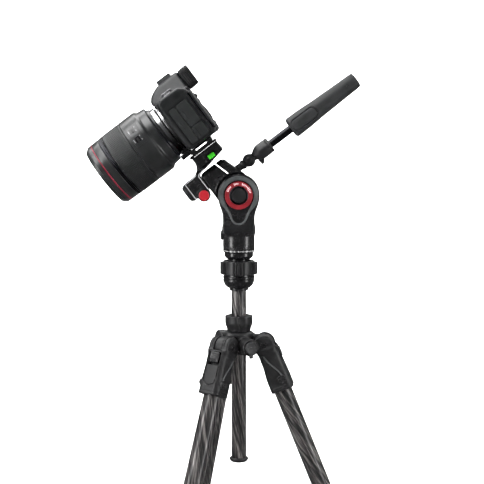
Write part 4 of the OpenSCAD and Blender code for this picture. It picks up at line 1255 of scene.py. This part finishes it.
MODE_DIAL = (10, 62, 0)
SHUTTER = (-24, 64, 0)
dial = lathe([(157.4, 0.05), (157.4, 9.3), (158.5, 9.9), (164.0, 10), (164.6, 9.4), (165.2, 8.4),
              (165.2, 0.05)], "z", 240, flutes(40, 0.45, 158.6, 164.1), 0.3)
piece("mode_dial_turning", dial, LEVEL, "dial", "plastic", "mode_dial", at=MODE_DIAL)
tick = block(5.4, 7.6, -0.3, 0.3, 165.15, 165.35)
marks = [turned(tick, shift(*MODE_DIAL) @ rot_z(30 * k)) for k in range(12)]
piece("mode_dial_marks", joined(*marks), LEVEL, "dial", "print_white")
button = lathe([(149, 0.05), (149, 5), (151.0, 4.9), (151.9, 4.2), (152.1, 2.4), (151.9, 0.05)], "z", 72,
               None, 0.3)
piece("shutter_button_turning", button, LEVEL, "shutter", "anodised", "shutter_button", at=SHUTTER)
piece("shutter_collar", tube(148.2, 150.6, 6.6, 5.45, "z", 72, 0.3), *CAMERA, "satin", at=SHUTTER)
wheel = lathe([(-6, 0.05), (-6, 6.4), (6, 6.4), (6, 0.05)], "y", 144, flutes(24, 0.6, -5.6, 5.6), 0.4)
piece("front_wheel", wheel, *CAMERA, "rubber", at=(-13, 64, 150.2))
screw = lathe([(84.4, 0.05), (84.4, 1.7), (83.7, 1.7), (83.7, 0.7), (84.1, 0.7), (84.1, 0.05)], "z", 32,
              None, 0.08)
screws = [turned(screw, shift(x, y, 0)) for y in (-48, 70) for x in (-9, 27)]
piece("base_screws", joined(*screws), *CAMERA, "steel")

# mount, in the lens frame
piece("camera_mount_ring", tube(-19.4, -14.6, 34, 27, "x", 160, 0.4), LENS, "camera", "chrome",
      "lens_mount")
claw = block(-17.8, -15.6, -4.5, 4.5, 24.6, 27.4)
claws = [turned(claw, Matrix.Rotation(math.radians(a), 4, "X")) for a in (20, 140, 260)]
piece("mount_bayonet", joined(*claws), LENS, "camera", "chrome", bevel=0.3)
dot = lathe([(-17.2, 0.05), (-17.2, 1.2), (-16.4, 1.3)], "x", 32, None, 0.1)
piece("mount_index", dot, LENS, "camera", "red_badge", at=(0, -12, 35.2))


# -------- lens

barrel = [(-11, 0.05), (-11, 26.6), (-19.7, 26.7), (-19.7, 30), (-21.8, 30), (-21.8, 33.4), (-27.2, 33.6),
          (-27.2, 35.2), (-28.2, 35.8), (-30.4, 36.4), (-31.2, 37.6), (-31.8, 40.4), (-32.8, 40.7),
          (-41.6, 41.6), (-43.0, 42.2), (-45.4, 44.5), (-47.0, 44.9), (-68.8, 44.9), (-69.4, 44.5),
          (-69.4, 40.5), (-104.2, 40.5), (-104.2, 44.2), (-104.8, 44.4), (-114.2, 44.2), (-114.3, 43.8),
          (-116.0, 43.7), (-116.1, 44.1), (-121.2, 44.0), (-121.7, 43.5), (-121.9, 42.4), (-123.4, 42.2),
          (-123.7, 41.5), (-125.0, 41.2), (-125.3, 40.0), (-126.3, 39.8), (-126.3, 38.9), (-125.9, 38.5),
          (-122.2, 38.5), (-121.8, 38.1), (-120.4, 38.0), (-118, 37.4), (-117.6, 36.6), (-116.0, 36.4),
          (-115.6, 35.6), (-110, 35.4), (-102, 35.2)]
piece("lens_barrel_turning", lathe(barrel, "x", 192, None, 0.3), *BARREL, "lens", "lens_barrel")
piece("lens_mount_side", tube(-27.1, -21.8, 34.0, 30.2, "x", 160, 0.4), *BARREL, "chrome")
piece("lens_gasket", tube(-21.9, -19.8, 31.4, 30.1, "x", 128, 0.2), *BARREL, "rubber")
piece("crimson_ring", tube(-115.7, -114.5, 44.3, 43.4, "x", 192, 0.2), *BARREL, "red_ring")


def fine_ribs(a, t, r):
    inside = np.clip(np.minimum(a + 95.8, -71.8 - a) / 0.5, 0, 1)
    return np.where(r > 43, r - 0.42 * inside * np.clip(0.5 - 0.9 * np.cos(110 * t), 0, 1), r)


focus = [(-69.8, 40.9), (-69.8, 44.5), (-71.2, 44.8), (-72.0, 44.9), (-80, 44.9), (-88, 44.9),
         (-95.6, 44.9), (-96.4, 44.8), (-97.8, 44.4), (-97.8, 40.9)]
piece("focus_ring_rubber", lathe(focus, "x", 880, fine_ribs, 0.25, True), LENS, "focus", "lens_rubber",
      "focus_ring", crease=60)


def knurl(a, t, r):
    inside = np.clip(np.minimum(a + 103.4, -98.6 - a) / 0.4, 0, 1)
    return np.where(r > 43, r - 0.3 * inside * (0.5 - 0.5 * np.cos(150 * t)), r)


control = [(-98.1, 40.9), (-98.1, 44.2), (-98.7, 44.6), (-101.2, 44.6), (-103.3, 44.6), (-103.9, 44.2),
           (-103.9, 40.9)]
piece("control_ring_metal", lathe(control, "x", 900, knurl, 0.2, True), LENS, "control", "anodised",
      "control_ring", crease=60)

# front glass: the outer face is part of a sphere
dome = [(-102 - math.sqrt(80 ** 2 - r * r) + 68, max(r, 0.05)) for r in (35, 33, 30, 26, 21, 15, 9, 4, 0)]
front = [*dome[::-1], (-102.2, 35), (-102.2, 0.05)]
piece("front_glass", lathe(front, "x", 128, None, 0.01), *BARREL, "glass", "front_element", crease=30)
rear = [(-14.4, 0.05), (-12.6, 8), (-11.2, 15), (-10.6, 18.8), (-10.2, 18.8), (-10.2, 0.05)]
piece("rear_glass", lathe(rear, "x", 96, None, 0.05), *BARREL, "glass", crease=30)


def on_barrel(u0, u1, a0, a1, r0, r1, steps=14):
    """Curved plate on the barrel between two angles; 180 degrees is the near side."""
    verts, faces = [], []
    for k in range(steps + 1):
        a = math.radians(a0 + (a1 - a0) * k / steps)
        for u, r in ((u0, r0), (u1, r0), (u1, r1), (u0, r1)):
            verts.append((u, r * math.cos(a), r * math.sin(a)))
    for k in range(steps):
        for i in range(4):
            j = (i + 1) % 4
            faces.append([4 * k + i, 4 * k + 4 + i, 4 * k + 4 + j, 4 * k + j])
    faces += [[0, 1, 2, 3], [4 * steps + 3, 4 * steps + 2, 4 * steps + 1, 4 * steps]]
    return verts, faces


# switch panel on the near side: a curved plate with two sliders
piece("switch_panel", on_barrel(-65.5, -50.0, 136, 176, 44.0, 45.35, 20), *BARREL, "lens", bevel=0.5)
slots = [on_barrel(-61.6, -55.0, a, a + 10, 44.6, 45.5, 6) for a in (141, 160)]
piece("switch_slots", joined(*slots), *BARREL, "gloss", bevel=0.15)
sliders = [on_barrel(-59.6, -57.0, a, a + 7, 44.6, 46.0, 6) for a in (144, 163)]
piece("switch_sliders", joined(*sliders), *BARREL, "plastic", bevel=0.25)
ticks = [on_barrel(-53.9, -53.3, a, a + 1.8, 45.1, 45.45, 2) for a in (141.5, 149, 160.5, 168)]
ticks += [on_barrel(-63.8, -63.2, a, a + 6, 45.1, 45.45, 3) for a in (143, 162)]
piece("switch_ticks", joined(*ticks), *BARREL, "print_grey")


# -------- CAD nodes that are kept

for name, node in frame["nodes"].items():
    node.data.materials.clear()
    node.data.materials.append(MAT["steel" if "cup" in name else "satin"])


# -------- stage

FLOOR_RADIUS = 2.2
WALL_BEND = 1.2
WALL_TOP = 4.5
FLOOR_GAP = 0.0005


def stage_curve():
    """Seamless backdrop: a round floor that curves up into a wall, in metres."""
    profile = [(0.0, 0.0), (FLOOR_RADIUS, 0.0)]
    for a in np.linspace(0.1, math.pi / 2, 14):
        profile.append((FLOOR_RADIUS + WALL_BEND * math.sin(a), WALL_BEND - WALL_BEND * math.cos(a)))
    profile.append((FLOOR_RADIUS + WALL_BEND, WALL_TOP))
    count = 96
    angles = np.arange(count) * 2 * math.pi / count
    verts, faces = [(0, 0, -FLOOR_GAP)], []
    for r, z in profile[1:]:
        verts += [(r * math.cos(a), r * math.sin(a), z - FLOOR_GAP) for a in angles]
    for k in range(count):
        n = (k + 1) % count
        faces.append([0, 1 + k, 1 + n])
        for ring in range(len(profile) - 2):
            a = 1 + ring * count
            faces.append([a + k, a + count + k, a + count + n, a + n])
    data = bpy.data.meshes.new("backdrop")
    data.from_pydata(verts, [], faces)
    data.shade_smooth()
    data.materials.append(moulded("backdrop_paper", (860, 860, 860), (900, 900, 900), (0.85, 0.95),
                                  60, 0.01, 0.02, 0.1, blotch=0.6))
    o = new_object("backdrop", data)
    o.visible_glossy = False
    return o


def aimed(o, place, aim):
    """Puts a lamp or a camera at a place, looking at another."""
    o.location = place
    o.rotation_euler = (Vector(aim) - Vector(place)).to_track_quat("-Z", "Y").to_euler()
    return o


def soft_light(name, place, aim, width, height, power):
    data = bpy.data.lights.new(name, "AREA")
    data.shape = "RECTANGLE"
    data.size, data.size_y, data.energy = width, height, power
    return aimed(new_object(name, data), place, aim)


world = bpy.data.worlds.new("studio")
world.use_nodes = True
set_inputs(world.node_tree.nodes["Background"], Color=(1, 1, 1, 1), Strength=0.2)
bpy.context.scene.world = world

aim = (0, 0, 0.45)
lights = [
    soft_light("left_box", (-1.35, -0.86, 0.75), aim, 0.42, 1.8, 30),
    soft_light("right_box", (1.35, -0.80, 0.75), aim, 0.32, 1.8, 24),
    soft_light("top_box", (-0.75, -0.35, 1.75), aim, 1.0, 0.9, 34),
    # these three face away from the model and whiten the floor and the wall
    soft_light("floor_wash", (0, 1.0, 1.9), (0, 1.6, 0), 3.4, 1.2, 90),
    soft_light("wall_wash", (0, 1.0, 1.6), (0, 3.4, 1.5), 3.6, 1.6, 170),
    soft_light("front_wash", (0, -1.0, 1.9), (0, -3.4, 1.4), 3.6, 1.4, 50),
]

view = bpy.data.cameras.new("view")
view.sensor_width, view.lens = 36, 89.3
view.dof.use_dof = False
# the camera stands a little above the tilt axis and looks slightly down
VIEW_X = 0.0042
VIEW_DISTANCE = 1.578
eye = aimed(new_object("view", view), (VIEW_X, -VIEW_DISTANCE, TILT.z + 0.098), (VIEW_X, 0, TILT.z - 0.0625))
bpy.context.scene.camera = eye
stage_curve()
bpy.context.scene.view_settings.view_transform = "Standard"
